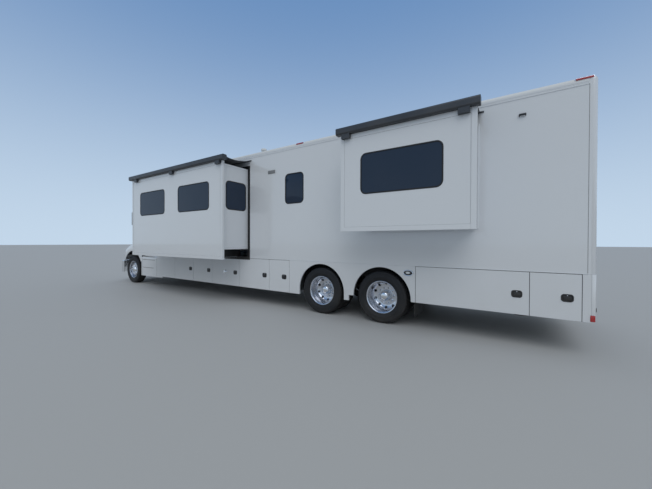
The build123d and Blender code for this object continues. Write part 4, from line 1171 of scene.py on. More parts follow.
@dataclass
class SlideRoom:
    """Trim, seals and topper awning of one slide-out room."""

    layout: Layout
    body: str
    border: float = 0.072
    border_proud: float = 0.004
    sag: float = 0.075
    cloth: float = 0.0015
    face_depth: float = 0.050
    box_foot: float = 1.310
    runner_inset: float = 0.500
    runner_half: float = 0.0455

    def __post_init__(self) -> None:
        """Read the room's places from the frame."""
        self.start, self.end, self.foot, self.room_top = frame_station_box(f"{self.body}_room")
        self.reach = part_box(f"{self.body}_room")[1].y - self.layout.middle - self.layout.half
        self.face = self.layout.wall(Hand.LEFT, self.reach)
        self.topper_low, self.topper_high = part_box(f"{self.body}_topper")

    def build(self) -> None:
        """Make every piece of the room's outside."""
        self.borders()
        self.wall_seal()
        self.topper_sheet()
        self.wall_rail()
        self.hardware()
        # The front room also gets dark sheets of painted shade beneath it.
        if self.body == "slide_front":
            self.underside()

    def borders(self) -> None:
        """Flat extrusions round the face, with a fine shadow line inside them."""
        form, line = Form(), Form()
        u0, u1, v0, v1 = self.start, self.end, self.foot, self.room_top
        b, n = self.border, self.border_proud
        for limits in ((u0, u0 + b, v0, v1), (u1 - b, u1, v0, v1), (u0 + b, u1 - b, v0, v0 + b),
                       (u0 + b, u1 - b, v1 - b, v1)):
            form.slab(self.face, *limits, -0.002, n)
        form.piece(f"{self.body}_face_border", self.body, BODY_WHITE, ease=0.0025)
        section = ((-0.002, -0.001), (-0.002, 0.0015), (0.002, 0.0015), (0.002, -0.001))
        line.rim(self.face, growing(u0 + b, u1 - b, v0 + b, v1 - b, 0.002, share=0.0), section)
        line.piece(f"{self.body}_border_line", self.body, SEALANT)

    def wall_seal(self) -> None:
        """Wiper seal on the wall round the opening: wide and black at the front room, else a thin line."""
        is_front = self.body == "slide_front"
        start, end = self.start + 0.045, self.end - 0.045
        foot, top = self.foot + (0.02 if is_front else 0.035), self.room_top - 0.015
        width = 0.062 if is_front else 0.012
        form = Form()
        face = self.layout.wall(Hand.LEFT)
        section = ((-width, -0.003), (-width, 0.003), (-0.010, 0.0045), (0.014, 0.0035), (0.016, -0.012),
                   (0.006, -0.012), (0.001, -0.003))
        form.rim(face, lambda g: rounded_loop(start + g, end - g, foot + g, top - g, 0.004, 2), section)
        form.piece(f"{self.body}_wall_seal", "coach", RUBBER_SEAL if is_front else BODY_WHITE)

    def underside(self) -> None:
        """Painted shade: dark sheets behind the face's foot, under the room's floor and on its runners'
        sides.
        """
        form = Form()
        start, end, box_foot = self.start + 0.06, self.end - 0.06, self.box_foot
        back = -self.face_depth
        form.slab(self.face, start, end, self.foot + 0.004, box_foot - 0.004, back - 0.0025, back - 0.0005)
        form.slab(self.face, start, end, box_foot - 0.0025, box_foot - 0.0005, back - 0.006,
                  -self.reach + 0.03)
        for station in (self.start + self.runner_inset, self.end - self.runner_inset):
            for side in (-1, 1):
                near = station + side * self.runner_half
                form.slab(self.face, near, near + side * 0.002, self.foot + 0.024, box_foot - 0.003,
                          back - 0.003, -self.reach - 0.10)
        form.piece(f"{self.body}_underside", self.body, CHASSIS_BLACK)

    def topper_sheet(self) -> None:
        """Coated cloth from the rail on the wall, sagging onto the room's roof, up to the roller."""
        wall_y = self.layout.middle + self.layout.half + 0.022
        roll_y = self.topper_low.y + 0.03
        wall_z, roll_z = self.rail_height(), self.topper_high.z - 0.014
        rest_z = self.room_top + 0.006
        start, end = self.topper_low.x + 0.055, self.topper_high.x - 0.055
        rows, columns = 22, 60
        rings = []
        for i in range(columns + 1):
            x = start + (end - start) * i / columns
            droop = 0.75 + 0.25 * sin(pi * i / columns)
            ripple = 0.003 * sin(9.0 * tau * i / columns) * sin(pi * i / columns)
            row = []
            for k in range(rows + 1):
                t = k / rows
                straight = wall_z + (roll_z - wall_z) * t
                z = straight - self.sag * droop * 4 * t * (1 - t) + ripple * sin(pi * t)
                row.append(Vector((x, wall_y + (roll_y - wall_y) * t, max(z, rest_z if t > 0.12 else z))))
            rings.append(row)
        form = Form()
        form.skin(rings, round_ring=False)
        name = f"{self.body}_topper_cloth"
        obj = linked(name, form.mesh(name, 60.0))
        obj.data.materials.append(TOPPER_CLOTH.material())
        thicken(obj, self.cloth)
        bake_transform(obj)

    def rail_height(self) -> float:
        """Height of the wall rail that holds the topper's cloth."""
        return self.topper_high.z + 0.045

    def wall_rail(self) -> None:
        """Aluminium rail on the wall that grips the cloth."""
        form = Form()
        start = self.layout.station(self.topper_low.x) + 0.02
        end = self.layout.station(self.topper_high.x) - 0.02
        z = self.rail_height()
        extrude(form, self.layout.wall(Hand.LEFT), (
            (z - 0.014, 0.0), (z - 0.014, 0.004), (z - 0.008, 0.020), (z - 0.001, 0.024), (z + 0.008, 0.020),
            (z + 0.014, 0.004), (z + 0.014, 0.0),
        ), start, end)
        form.piece(f"{self.body}_topper_rail", "coach", CHARCOAL)

    def hardware(self) -> None:
        """End caps of the topper's roller."""
        form = Form()
        middle_y = (self.topper_low.y + self.topper_high.y) / 2
        middle_z = (self.room_top + self.topper_high.z) / 2
        for x, out in ((self.topper_low.x, -1), (self.topper_high.x, 1)):
            centre = Vector((x - out * 0.012, middle_y, middle_z))
            form.turned(centre, FORWARD * out,
                        ((0.0, 0.045), (0.008, 0.045), (0.0115, 0.040), (0.0115, 0.0)), 32)
        form.piece(f"{self.body}_topper_caps", self.body, BLACK_PLASTIC)


@dataclass
class WheelSet:
    """Tyres with their tread, and turned wheels with nuts and hubs."""

    layout: Layout
    pitches: int = 56
    hand_holes: int = 10
    bolt_circle: float = 0.143
    nut_radius: float = 0.0165
    tyre_width: float = 0.28
    twin_pitch: float = 0.34
    seats: tuple[float, float] = (0.072, -0.142)

    def build(self) -> None:
        """Make one wheel of each kind at the origin and copy it to its places."""
        front = self.bored(self.front_rim(), 0.222, 0.026, 0.06)
        rear = self.bored(self.rear_rims(), 0.228, 0.026, -0.17)
        tread = self.tyre()
        for name in sorted(n for n in frame["nodes"] if n.startswith("wheel_")):
            low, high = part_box(name.replace("wheel", "tyre"))
            hand = Hand.LEFT if name.endswith("left") else Hand.RIGHT
            centre = (low + high) / 2
            side = (high.y if hand is Hand.LEFT else low.y) - hand.value * self.tyre_width / 2
            turn = Matrix.Identity(4) if hand is Hand.LEFT else Matrix.Rotation(pi, 4, "Z")
            place = Matrix.Translation((centre.x, side, centre.z)) @ turn
            is_front = "front" in name
            rim = (front if is_front else rear).copy()
            rim.transform(place)
            placed(name + "_rim", rim, name, POLISHED, (name,))
            self.fittings(name, place, is_front)
            tyres = Form()
            tyres.add(tread.moved(place))
            if not is_front:
                tyres.add(tread.moved(Matrix.Translation((0, -hand.value * self.twin_pitch, 0)) @ place))
            tyre_node = name.replace("wheel", "tyre")
            tyres.piece(tyre_node + "_tread", name, TYRE_RUBBER, replaces=(tyre_node,), smooth=32.0)

    def barrel(self, centre: float) -> list[tuple[float, float]]:
        """Section of a rim's barrel with rolled flanges, as (distance along the axle, radius)."""
        return [
            (centre + 0.116, 0.2985), (centre + 0.1175, 0.2945), (centre + 0.116, 0.289),
            (centre + 0.108, 0.279), (centre + 0.085, 0.2735), (centre + 0.02, 0.2725),
            (centre - 0.085, 0.2725), (centre - 0.108, 0.279), (centre - 0.116, 0.289),
            (centre - 0.1165, 0.2985), (centre - 0.106, 0.2985), (centre - 0.104, 0.2865),
            (centre + 0.104, 0.2865), (centre + 0.106, 0.2985),
        ]

    def front_rim(self) -> Form:
        """Front wheel, whose disc bulges outward."""
        form = Form()
        axis = LEFTWARD
        form.turned(Vector(), axis, self.barrel(0.0), 96, closed=True)
        form.turned(Vector(), axis, (
            (0.030, 0.2735), (0.043, 0.262), (0.058, 0.240), (0.070, 0.208), (0.0735, 0.185), (0.072, 0.178),
            (0.072, 0.106), (0.050, 0.106), (0.050, 0.178), (0.048, 0.200), (0.036, 0.232), (0.022, 0.256),
            (0.012, 0.2735),
        ), 96, closed=True)
        return form

    def rear_rims(self) -> Form:
        """Twin rear wheels, deep dished and back to back on one hub."""
        form = Form()
        axis = LEFTWARD
        disc = (
            (-0.076, 0.2735), (-0.094, 0.264), (-0.120, 0.243), (-0.136, 0.214), (-0.141, 0.189),
            (-0.142, 0.180), (-0.142, 0.106), (-0.160, 0.106), (-0.160, 0.184), (-0.154, 0.210),
            (-0.138, 0.236), (-0.112, 0.256), (-0.096, 0.2735),
        )
        form.turned(Vector(), axis, self.barrel(0.0), 96, closed=True)
        form.turned(Vector(), axis, disc, 96, closed=True)
        form.turned(Vector(), axis, self.barrel(-self.twin_pitch), 96, closed=True)
        form.turned(Vector(), axis, [(-self.twin_pitch - a, r) for a, r in disc], 96, closed=True)
        return form

    def bored(self, form: Form, ring: float, radius: float, along: float) -> bpy.types.Mesh:
        """Cut the ring of hand holes through a wheel's disc.

        Args:
            form: The wheel's rims.
            ring: Radius of the ring of holes.
            radius: Radius of a hole.
            along: Where the disc is along the axle.

        Returns:
            The bored mesh.
        """
        cutters = Form()
        for number in range(self.hand_holes):
            turn = tau * number / self.hand_holes
            centre = Vector((ring * sin(turn), along - 0.11, ring * cos(turn)))
            cutters.turned(centre, LEFTWARD, ((0.0, radius), (0.22, radius)), 28)
        blank = linked("wheel blank", form.mesh("wheel blank", CARVED_SMOOTH))
        return carved(blank, cutters, overlapping=True)

    def fittings(self, name: str, place: Matrix, is_front: bool) -> None:
        """Nuts, hub and cap of one wheel."""
        nuts, hub = Form(), Form()
        seat = self.seats[0] if is_front else self.seats[1]
        axis = LEFTWARD
        for number in range(self.hand_holes):
            turn = tau * (number + 0.5) / self.hand_holes
            centre = Vector((self.bolt_circle * sin(turn), seat, self.bolt_circle * cos(turn)))
            r = self.nut_radius
            nuts.turned(centre, axis,
                        ((0.0, r * 1.3), (0.005, r * 1.3), (0.007, r), (0.026, r * 0.95), (0.036, r * 0.7),
                         (0.042, r * 0.35), (0.0435, 0.0)), 12)
        nuts.moved(place).piece(name + "_nuts", name, CHROME, smooth=25.0)
        if is_front:
            profile = ((0.045, 0.106), (0.076, 0.106), (0.080, 0.100), (0.082, 0.092), (0.098, 0.084),
                       (0.108, 0.062), (0.1115, 0.03), (0.112, 0.0))
        else:
            profile = ((-0.30, 0.104), (-0.138, 0.104), (-0.134, 0.1), (-0.090, 0.098), (-0.060, 0.093),
                       (-0.030, 0.088), (-0.008, 0.074), (0.006, 0.050), (0.011, 0.02), (0.012, 0.0))
        hub.turned(Vector(), axis, profile, 64)
        hub.moved(place).piece(name + "_hub", name, CHROME, smooth=28.0)

    def tyre(self) -> Form:
        """Tyre at the origin: bead, sidewall rings, shoulder blocks, ribs and grooves."""
        side = (
            (0.104, 0.2865), (0.108, 0.300), (0.117, 0.3105), (0.121, 0.3115), (0.1225, 0.318),
            (0.128, 0.330), (0.1345, 0.350), (0.1375, 0.3655), (0.1395, 0.367), (0.1395, 0.372),
            (0.1382, 0.3745), (0.1390, 0.392), (0.1375, 0.412), (0.1345, 0.430), (0.1355, 0.4325),
            (0.1340, 0.4360), (0.1300, 0.448), (0.1230, 0.4640), (0.1130, 0.4715),
        )
        ribs = ((0.098, 0.4785), (0.0665, 0.4795), (0.0655, 0.4665), (0.0575, 0.4665), (0.0565, 0.4797),
                (0.0245, 0.48), (0.0235, 0.4665), (0.0155, 0.4665), (0.0145, 0.48))
        half = list(side) + list(ribs)
        profile = half + [(-a, r) for a, r in reversed(half)]
        per_pitch = 4
        steps = self.pitches * per_pitch
        shoulder = set(range(len(side) - 4, len(side) + 2))
        shoulder |= {len(profile) - 1 - k for k in shoulder}
        rib_edges = set(range(len(side) + 1, len(profile) - len(side) - 1))

        def shape(number: int, step: int) -> float:
            """Notches between the shoulder blocks and fine sipes over the ribs."""
            if number in shoulder and step % per_pitch == 0:
                return -0.009
            if number in rib_edges and step % per_pitch == 2 and profile[number][1] > 0.479:
                return -0.0035
            return 0.0

        form = Form()
        form.turned(Vector(), LEFTWARD, profile, steps, closed=True, shape=shape)
        return form


def eased(knots: Knots, x: float) -> float:
    """Value of a smooth curve through (place, value) knots, which never overshoots between them."""
    if x <= knots[0][0]:
        return knots[0][1]
    if x >= knots[-1][0]:
        return knots[-1][1]
    slopes = [(b[1] - a[1]) / (b[0] - a[0]) for a, b in zip(knots, knots[1:])]
    tangents = [slopes[0]]
    for before, after in zip(slopes, slopes[1:]):
        tangents.append(0.0 if before * after <= 0 else 2 * before * after / (before + after))
    tangents.append(slopes[-1])
    k = next(n for n in range(len(slopes)) if x <= knots[n + 1][0])
    (x0, y0), (x1, y1) = knots[k], knots[k + 1]
    width = x1 - x0
    t = (x - x0) / width
    rise = (1 + 2 * t) * (1 - t) ** 2 * y0 + t * (1 - t) ** 2 * width * tangents[k]
    return rise + t * t * (3 - 2 * t) * y1 + t * t * (t - 1) * width * tangents[k + 1]


def border(grid: Sequence[Sequence[Vector]]) -> list[Vector]:
    """Points round the edge of a grid of points."""
    sides = [row[-1] for row in grid[1:-1]], [row[0] for row in grid[-2:0:-1]]
    return [*grid[0], *sides[0], *reversed(grid[-1]), *sides[1]]


def bent(start: tuple[float, float], corner: tuple[float, float], end: tuple[float, float],
         steps: int) -> Loop:
    """Points of a soft corner, from its start to its end, drawn towards the corner."""
    places = []
    for k in range(steps + 1):
        t = k / steps
        weights = ((1 - t) ** 2, 2 * t * (1 - t), t * t)
        places.append(tuple(sum(w * p[i] for w, p in zip(weights, (start, corner, end))) for i in (0, 1)))
    return places


def run(start: tuple[float, float], end: tuple[float, float], steps: int) -> Loop:
    """Points along a straight line, without its two ends."""
    return [
        (start[0] + (end[0] - start[0]) * k / steps, start[1] + (end[1] - start[1]) * k / steps)
        for k in range(1, steps)
    ]


@dataclass
class HoodSkin:
    """Tilting hood: bonnet and fenders in one smooth moulding, with its lamps and latches.

    Each table gives a size along the hood, as (station ahead of the nose, value).
    """

    layout: Layout
    crown: Knots = ((-1.422, 1.796), (-0.62, 1.730), (-0.22, 1.600), (0.0, 1.430))
    shoulder: Knots = ((-1.422, 0.960), (-0.62, 0.750), (-0.22, 0.585), (0.0, 0.500))
    shoulder_height: Knots = ((-1.422, 1.700), (-0.62, 1.640), (-0.22, 1.500), (0.0, 1.330))
    flank_foot: Knots = ((-1.422, 1.040), (-0.62, 0.820), (-0.22, 0.650), (0.0, 0.560))
    fender_top: Knots = (
        (-1.72, 1.395), (-1.42, 1.415), (-1.063, 1.425), (-0.74, 1.365), (-0.43, 1.235), (-0.14, 1.080),
        (-0.02, 0.965), (0.0, 0.950))
    fender_edge: Knots = (
        (-0.52, 1.280), (-0.34, 1.222), (-0.15, 1.115), (-0.05, 0.985), (0.0, 0.800))
    foot: float = 0.790
    rear_edge: float = -1.422
    arch_radius: float = 0.670
    arch_half: float = 0.594
    inner_edge: float = 1.158
    skin: float = 0.014
    lamp_from: float = -0.345
    lamp_to: float = -0.095
    lens_rise: float = 0.004
    lens_edge: float = 0.0006
    lens_depth: float = 0.003
    opening: tuple[float, float, float] = (0.385, 0.925, 1.360)
    hinge_slot: tuple[float, float, float] = (0.415, 0.505, 0.885)

    def __post_init__(self) -> None:
        """Find the nose, the rear ends and the wheel from the frame."""
        wheel_low, wheel_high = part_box("wheel_front_left")
        self.nose = self.layout.station(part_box("grille")[0].x)
        self.back = self.layout.station(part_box("hood")[0].x) - self.nose
        self.hub = self.layout.station((wheel_low.x + wheel_high.x) / 2) - self.nose
        self.hub_height = (wheel_low.z + wheel_high.z) / 2

    def build(self) -> None:
        """Make the moulding and everything on it."""
        self.moulding()
        self.hinges()
        for hand in Hand:
            self.headlamp(hand)
        self.latches()
        self.vents()
        self.grille_screen()

    def foot_height(self, place: float) -> float:
        """Height of the hood's lower edge, which rises over the wheel."""
        across = place - self.hub
        if abs(across) >= self.arch_radius:
            return self.foot
        return max(self.foot, self.hub_height + (self.arch_radius ** 2 - across ** 2) ** 0.5)

    def half_section(self, place: float, inset: float = 0.0) -> Loop:
        """Half of the cross section, from the middle of the crown to the return of the lower edge.

        Args:
            place: Station ahead of the nose.
            inset: How far the section is drawn in, to round the nose.

        Returns:
            Points as (side distance, height).
        """
        half, top = eased(self.shoulder, place) - inset, eased(self.shoulder_height, place) - inset
        crown = eased(self.crown, place) - inset
        flank = eased(self.flank_foot, place) - inset
        fender = eased(self.fender_top, place) - inset * 0.5
        edge = eased(self.fender_edge, place) - inset
        foot = self.foot_height(place)
        rise = crown - top
        radius = (half ** 2 + rise ** 2) / (2 * rise)
        turn = 0.88 * asin(min(half / radius, 1.0))
        points = [(radius * sin(turn * k / 9), crown - radius * (1 - cos(turn * k / 9))) for k in range(9)]
        arc_end = (radius * sin(turn), crown - radius * (1 - cos(turn)))

        def on_flank(height: float) -> tuple[float, float]:
            """Point of the flank at a height."""
            return half + (flank - half) * (top - height) / (top - self.foot), height

        flank_top = on_flank(top - 0.07)
        points += bent(arc_end, (half, top), flank_top, 6)
        valley = on_flank(fender)
        flank_end = on_flank(fender + 0.45 * (top - 0.07 - fender))
        fender_in = (valley[0] + min(0.12, 0.3 * (edge - valley[0])), fender)
        points += run(flank_top, flank_end, 4)
        points += bent(flank_end, valley, fender_in, 7)
        width = min(0.20, 0.62 * (edge - fender_in[0]))
        drop = max(min(0.20, fender - foot - 0.03), 0.03)
        turn_start, turn_end = (edge - width, fender), (edge, fender - drop)
        points += run(fender_in, turn_start, 6)
        points += bent(turn_start, (edge, fender), turn_end, 9)
        points += run(turn_end, (edge, foot), 4)
        return points + [(edge, foot), (edge - 0.030, foot + 0.002)]

    def places(self) -> list[float]:
        """Stations of the moulding's sections, close together where its form turns."""
        knots = {self.rear_edge, self.lamp_from, self.lamp_to, self.hub}
        offsets = (self.arch_half, 0.57, 0.52, 0.45, 0.36, 0.25, 0.12)
        knots |= {self.hub + side * offset for side in (-1, 1) for offset in offsets}
        knots |= {-1.3, -0.40, -0.30, -0.26, -0.22, -0.18, -0.14, -0.07, -0.045, -0.022}
        return sorted(knot for knot in knots if knot >= self.rear_edge)

    def ring(self, place: float, inset: float = 0.0) -> list[Vector]:
        """Whole section as points, from the driver's lower edge to the passenger's."""
        half = self.half_section(place, inset)
        whole = [(y, z) for y, z in reversed(half)] + [(-y, z) for y, z in half[1:]]
        return [self.layout.place(self.nose + place, y, z) for y, z in whole]

    def lamp_columns(self) -> range:
        """Numbers of the half section's points between which a headlamp lies."""
        return range(26, 38)

    def moulding(self) -> None:
        """Skin over the sections, open at the headlamps, the grille and the wheels."""
        form = Form()
        places = self.places()
        count = len(self.half_section(-0.5))
        rings = [self.ring(place) for place in places]
        rings += [self.ring(-0.006, 0.006), self.ring(0.0, 0.016)]
        form.skin(rings, round_ring=False)
        columns = self.lamp_columns()
        hidden = {count - 1 - k for k in columns[1:]} | {count - 2 + k for k in columns[1:]}
        rows = {n for n, place in enumerate(places) if self.lamp_from <= place < self.lamp_to}
        per_row = 2 * count - 2
        form.faces = [f for n, f in enumerate(form.faces)
                      if not (n // per_row in rows and n % per_row in hidden)]
        self.nose_face(form, self.half_section(0.0, 0.016))
        for hand in Hand:
            self.rear_strip(form, hand)
        obj = form.piece("hood_moulding", "hood", BODY_WHITE, replaces=("hood",), smooth=42.0)
        thicken(obj, self.skin)

    def nose_face(self, form: Form, half: Loop) -> None:
        """Upright front of the nose, with the grille's opening in it and a slot for each hinge."""
        side, foot, top = self.opening
        slot_in, slot_out, slot_top = self.hinge_slot
        right = half[:-1] + [(slot_out, self.foot), (slot_out, slot_top), (slot_in, slot_top),
                             (slot_in, self.foot)]
        outline = [(-y, z) for y, z in reversed(right[1:])] + right
        hole = [(-side, foot), (-side, top), (side, top), (side, foot)]
        triangles = tessellate_polygon([[Vector((*point, 0)) for point in loop] for loop in (outline, hole)])
        first = len(form.points)
        form.points += [self.layout.place(self.nose, y, z) for y, z in outline + hole]
        form.faces += [tuple(first + k for k in triangle) for triangle in triangles]

    def rear_strip(self, form: Form, hand: Hand) -> None:
        """Outer strip of a fender beside the cab, behind the bonnet's rear edge."""
        rings = []
        start = self.back + 0.002
        for k in range(9):
            place = self.hub - self.arch_half if k == 1 else start + (self.rear_edge - start) * k / 8
            rings.append([
                self.layout.place(self.nose + place, hand.value * max(y, self.inner_edge), z)
                for y, z in self.half_section(place)[24:]
            ])
        form.skin(rings, round_ring=False)

    def hinges(self) -> None:
        """Steel hinge plates at the nose, each with a round boss."""
        form = Form()
        for hand in Hand:
            low = self.layout.place(self.nose - 0.03, hand.value * 0.452, 0.815)
            high = self.layout.place(self.nose + 0.07, hand.value * 0.490, 0.930)
            form.block(low, high)
            form.turned(self.layout.place(self.nose + 0.04, hand.value * 0.492, 0.840), LEFTWARD * hand.value,
                        ((0.0, 0.022), (0.010, 0.020), (0.012, 0.016), (0.012, 0.0)), 20)
        form.piece("hood_hinge_plates", "hood", CHASSIS_BLACK, ease=0.002)

    def headlamp(self, hand: Hand) -> None:
        """Housing let into the fender's nose, with two reflectors, a marker lamp and a clear lens."""
        places = [p for p in self.places() if self.lamp_from <= p <= self.lamp_to]
        columns = self.lamp_columns()
        shown = slice(columns[0], columns[-1] + 1)
        patch = [
            [self.layout.place(self.nose + p, hand.value * y, z) for y, z in self.half_section(p)[shown]]
            for p in places
        ]
        loop = border(patch)
        back = self.layout.rear + self.nose + self.lamp_from - 0.035
        floor = [Vector((back, p.y, min(max(p.z, 0.985), 1.175))) for p in loop]
        housing = Form()
        housing.skin([loop, [p.lerp(q, 0.04) for p, q in zip(loop, floor)], floor])
        housing.lid(floor)
        housing.piece(f"headlamp_housing_{hand.word}", "hood", BLACK_PLASTIC)
        bowls, bulbs = Form(), Form()
        for side, radius in ((0.86, 0.065), (1.01, 0.065)):
            centre = Vector((back + 0.002, self.layout.middle + hand.value * side, 1.100))
            bowls.turned(centre, FORWARD, (
                (0.004, 0.012), (0.010, 0.030), (0.026, 0.050), (0.052, radius - 0.004), (0.056, radius),
                (0.050, radius + 0.004), (0.0, radius - 0.018), (0.0, 0.012),
            ), 40, closed=True)
            bulbs.turned(centre, FORWARD, ((0.004, 0.012), (0.030, 0.011), (0.036, 0.008), (0.038, 0.0)), 20)
        bowls.piece(f"headlamp_bowls_{hand.word}", "hood", CHROME)
        bulbs.piece(f"headlamp_bulbs_{hand.word}", "hood", PALE_LENS)
        marker = Form()
        low = Vector((back + 0.002, self.layout.middle + hand.value * 1.10, 1.06))
        marker.block(low, Vector((back + 0.03, self.layout.middle + hand.value * 1.16, 1.15)))
        marker.piece(f"headlamp_marker_{hand.word}", "hood", AMBER_LENS, ease=0.006)
        lens = Form()
        out = Vector((0.55, hand.value * 0.22, 0.8)).normalized()
        last, end = len(patch) - 1, len(columns) - 1
        outer = [
            [p + out * (self.lens_rise if 0 < i < last and 0 < k < end else self.lens_edge)
             for k, p in enumerate(row)]
            for i, row in enumerate(patch)
        ]
        inner = [[p - out * self.lens_depth for p in row] for row in patch]
        lens.skin(outer, round_ring=False)
        lens.skin(inner, round_ring=False)
        lens.skin([border(outer), border(inner)])
        lens.piece(f"headlamp_lens_{hand.word}", "hood", CLEAR_LENS,
                   replaces=("headlamps",) if hand is Hand.LEFT else ())

    def latches(self) -> None:
        """Rubber hood latches on the fenders' rear ends, on black plates."""
        straps, plates = Form(), Form()
        for hand in Hand:
            face = self.layout.flank(hand, self.fender_edge[0][1])
            middle = self.nose - 1.53
            plates.plate(face, growing_oval(middle, 1.125, 0.075, 0.040), -0.001, 0.003, 0.0015)
            straps.panel(face, middle - 0.058, middle + 0.058, 1.103, 1.147, 0.020, 0.001, 0.014, 0.006)
            straps.panel(face, middle - 0.020, middle + 0.020, 1.095, 1.155, 0.012, 0.001, 0.009, 0.004)
        plates.piece("hood_latch_plates", "hood", BLACK_PLASTIC)
        straps.piece("hood_latches", "hood", RUBBER_SEAL)

    def vents(self) -> None:
        """Louvred air outlets on the bonnet's flanks and a shallow chromed lifting handle at the nose."""
        frames, slats = Form(), Form()
        for hand in Hand:
            rear_point = self.layout.place(self.nose - 1.25, hand.value * 0.962, 1.60)
            front_point = self.layout.place(self.nose - 0.86, hand.value * 0.858, 1.58)
            along = (front_point - rear_point).normalized()
            up = Vector((0, -hand.value * 0.10, 1)).normalized()
            out = (along.cross(up) * -hand.value).normalized()
            up = out.cross(along) * (1 if out.cross(along).z > 0 else -1)
            face = Face(rear_point, along, up, out)
            length = (front_point - rear_point).length
            frames.panel(face, 0.0, length, -0.045, 0.045, 0.03, -0.012, 0.006, 0.004)
            for number in range(4):
                height = -0.030 + 0.018 * number
                slats.panel(face, 0.02, length - 0.02, height, height + 0.008, 0.004, 0.004, 0.011, 0.003)
        frames.piece("hood_vent_frames", "hood", BLACK_PLASTIC)
        slats.piece("hood_vent_slats", "hood", CHARCOAL)
        handle = Form()
        middle = self.layout.place(self.nose - 0.06, 0, eased(self.crown, -0.06) - 0.006)
        bows = [sin(pi * k / 10) for k in range(11)]
        path = [middle + Vector((0.012 * bow, -0.09 + 0.018 * k, 0.026 * bow)) for k, bow in enumerate(bows)]
        handle.tube(path, 0.006, 10)
        handle.piece("hood_handle", "hood", CHROME)

    def grille_screen(self) -> None:
        """Fine dark screen behind the grille's bars."""
        form = Form()
        face = self.layout.end(self.nose - 0.035, forward=True)
        half, foot, top = self.opening
        for number in range(41):
            side = -half - 0.012 + (2 * half + 0.024) * number / 40
            form.slab(face, side - 0.0018, side + 0.0018, foot - 0.015, top + 0.015, -0.002, 0.002)
        for number in range(22):
            height = foot - 0.01 + (top - foot + 0.02) * number / 21
            form.slab(face, -half - 0.015, half + 0.015, height - 0.0018, height + 0.0018, -0.005, -0.002)
        form.piece("grille_screen", "hood", BLACK_PLASTIC)


@dataclass
class NoseCap:
    """Moulded cap over the cab: a smooth shell, its bulkhead behind the cab and its lamps."""

    layout: Layout
    plan: Knots = (
        (-0.62, 1.295), (-0.42, 1.205), (-0.20, 1.010), (-0.10, 0.800), (-0.03, 0.583), (0.0, 0.32),
        (0.008, 0.06))
    foot_line: Knots = ((-0.20, 2.737), (-0.11, 2.750), (-0.03, 2.802), (0.008, 2.902))
    top_line: Knots = (
        (-0.74, 3.655), (-0.56, 3.610), (-0.42, 3.540), (-0.24, 3.340), (-0.08, 3.120), (0.0, 2.980),
        (0.008, 2.930))
    skin: float = 0.02
    lamp_sides: tuple[float, ...] = (-0.95, -0.17, 0.0, 0.17, 0.95)
    lamp_place: float = -0.42
    joint_top: float = 3.58
    bulkhead: tuple[float, float, float] = (0.78, 2.50, 2.735)

    def build(self) -> None:
        """Make the cap and its lamps."""
        low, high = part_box("nose_cap")
        self.tip = self.layout.station(high.x) - 0.008
        self.back = self.layout.station(low.x)
        self.cab_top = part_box("cab_shell")[1].z
        self.shell()
        self.lamps()

    def ring(self, place: float) -> list[Vector]:
        """Section of the cap at a station behind its tip."""
        half = eased(self.plan, place)
        foot, top = eased(self.foot_line, place), eased(self.top_line, place)
        radius = min(0.11, 0.42 * (top - foot), 0.45 * half)
        if place < -1.2:
            radius = 0.06
        loop = rounded_loop(-half, half, foot, top, radius, 7)
        return [self.layout.place(self.tip + place, y, z) for y, z in loop]

    def shell(self) -> None:
        """Loft the cap from the coach's front to its tip, and seal its joint."""
        form = Form()
        back = self.back - self.tip
        places = [back, back + 0.05, -1.0, -0.80, -0.74, -0.68, -0.62, -0.56, -0.50, -0.44, -0.38, -0.32,
                  -0.26, -0.21, -0.17, -0.13, -0.10, -0.07, -0.045, -0.025, -0.01, 0.0, 0.006, 0.008]
        rings = [self.ring(place) for place in places]
        form.skin(rings)
        form.lid(rings[-1])
        obj = form.piece("nose_cap_shell", "coach", BODY_WHITE, replaces=("nose_cap",), smooth=50.0)
        thicken(obj, self.skin)
        self.bulkhead_wall()
        seam = Form()
        for hand in Hand:
            seam.slab(self.layout.wall(hand), self.back - 0.002, self.back + 0.003, self.cab_top,
                      self.joint_top, -0.004, 0.0012)
        seam.piece("nose_cap_joint", "coach", SEALANT)

    def bulkhead_wall(self) -> None:
        """Front wall of the coach round the way through to the cab."""
        wall = Form()
        half = self.layout.half
        side, lintel, top = self.bulkhead
        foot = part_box("left_wall")[0].z
        face = self.layout.end(self.back, forward=True)
        for hand in Hand:
            wall.slab(face, hand.value * side, hand.value * half, foot, top, 0.0, 0.05)
        wall.slab(face, -side, side, lintel, top, 0.0, 0.05)
        wall.piece("cab_bulkhead", "coach", BODY_WHITE, ease=0.006)

    def lamps(self) -> None:
        """Five amber clearance lamps on the brow, on chromed bases."""
        bases, lenses = Form(), Form()
        place = self.lamp_place
        slope = Vector((0.18, 0, -0.20)).normalized()
        out = Vector((-slope.z, 0, slope.x))
        for side in self.lamp_sides:
            origin = self.layout.place(self.tip + place, side, eased(self.top_line, place))
            face = Face(origin, LEFTWARD, -slope, out)
            bases.plate(face, growing_oval(0, 0, 0.062, 0.026, 32), -0.012, 0.010, 0.004)
            lenses.plate(face, growing_oval(0, 0, 0.052, 0.019, 32), 0.006, 0.024, 0.010)
        bases.piece("clearance_lamp_bases", "coach", CHROME)
        lenses.piece("clearance_lamp_lenses", "coach", AMBER_LENS)


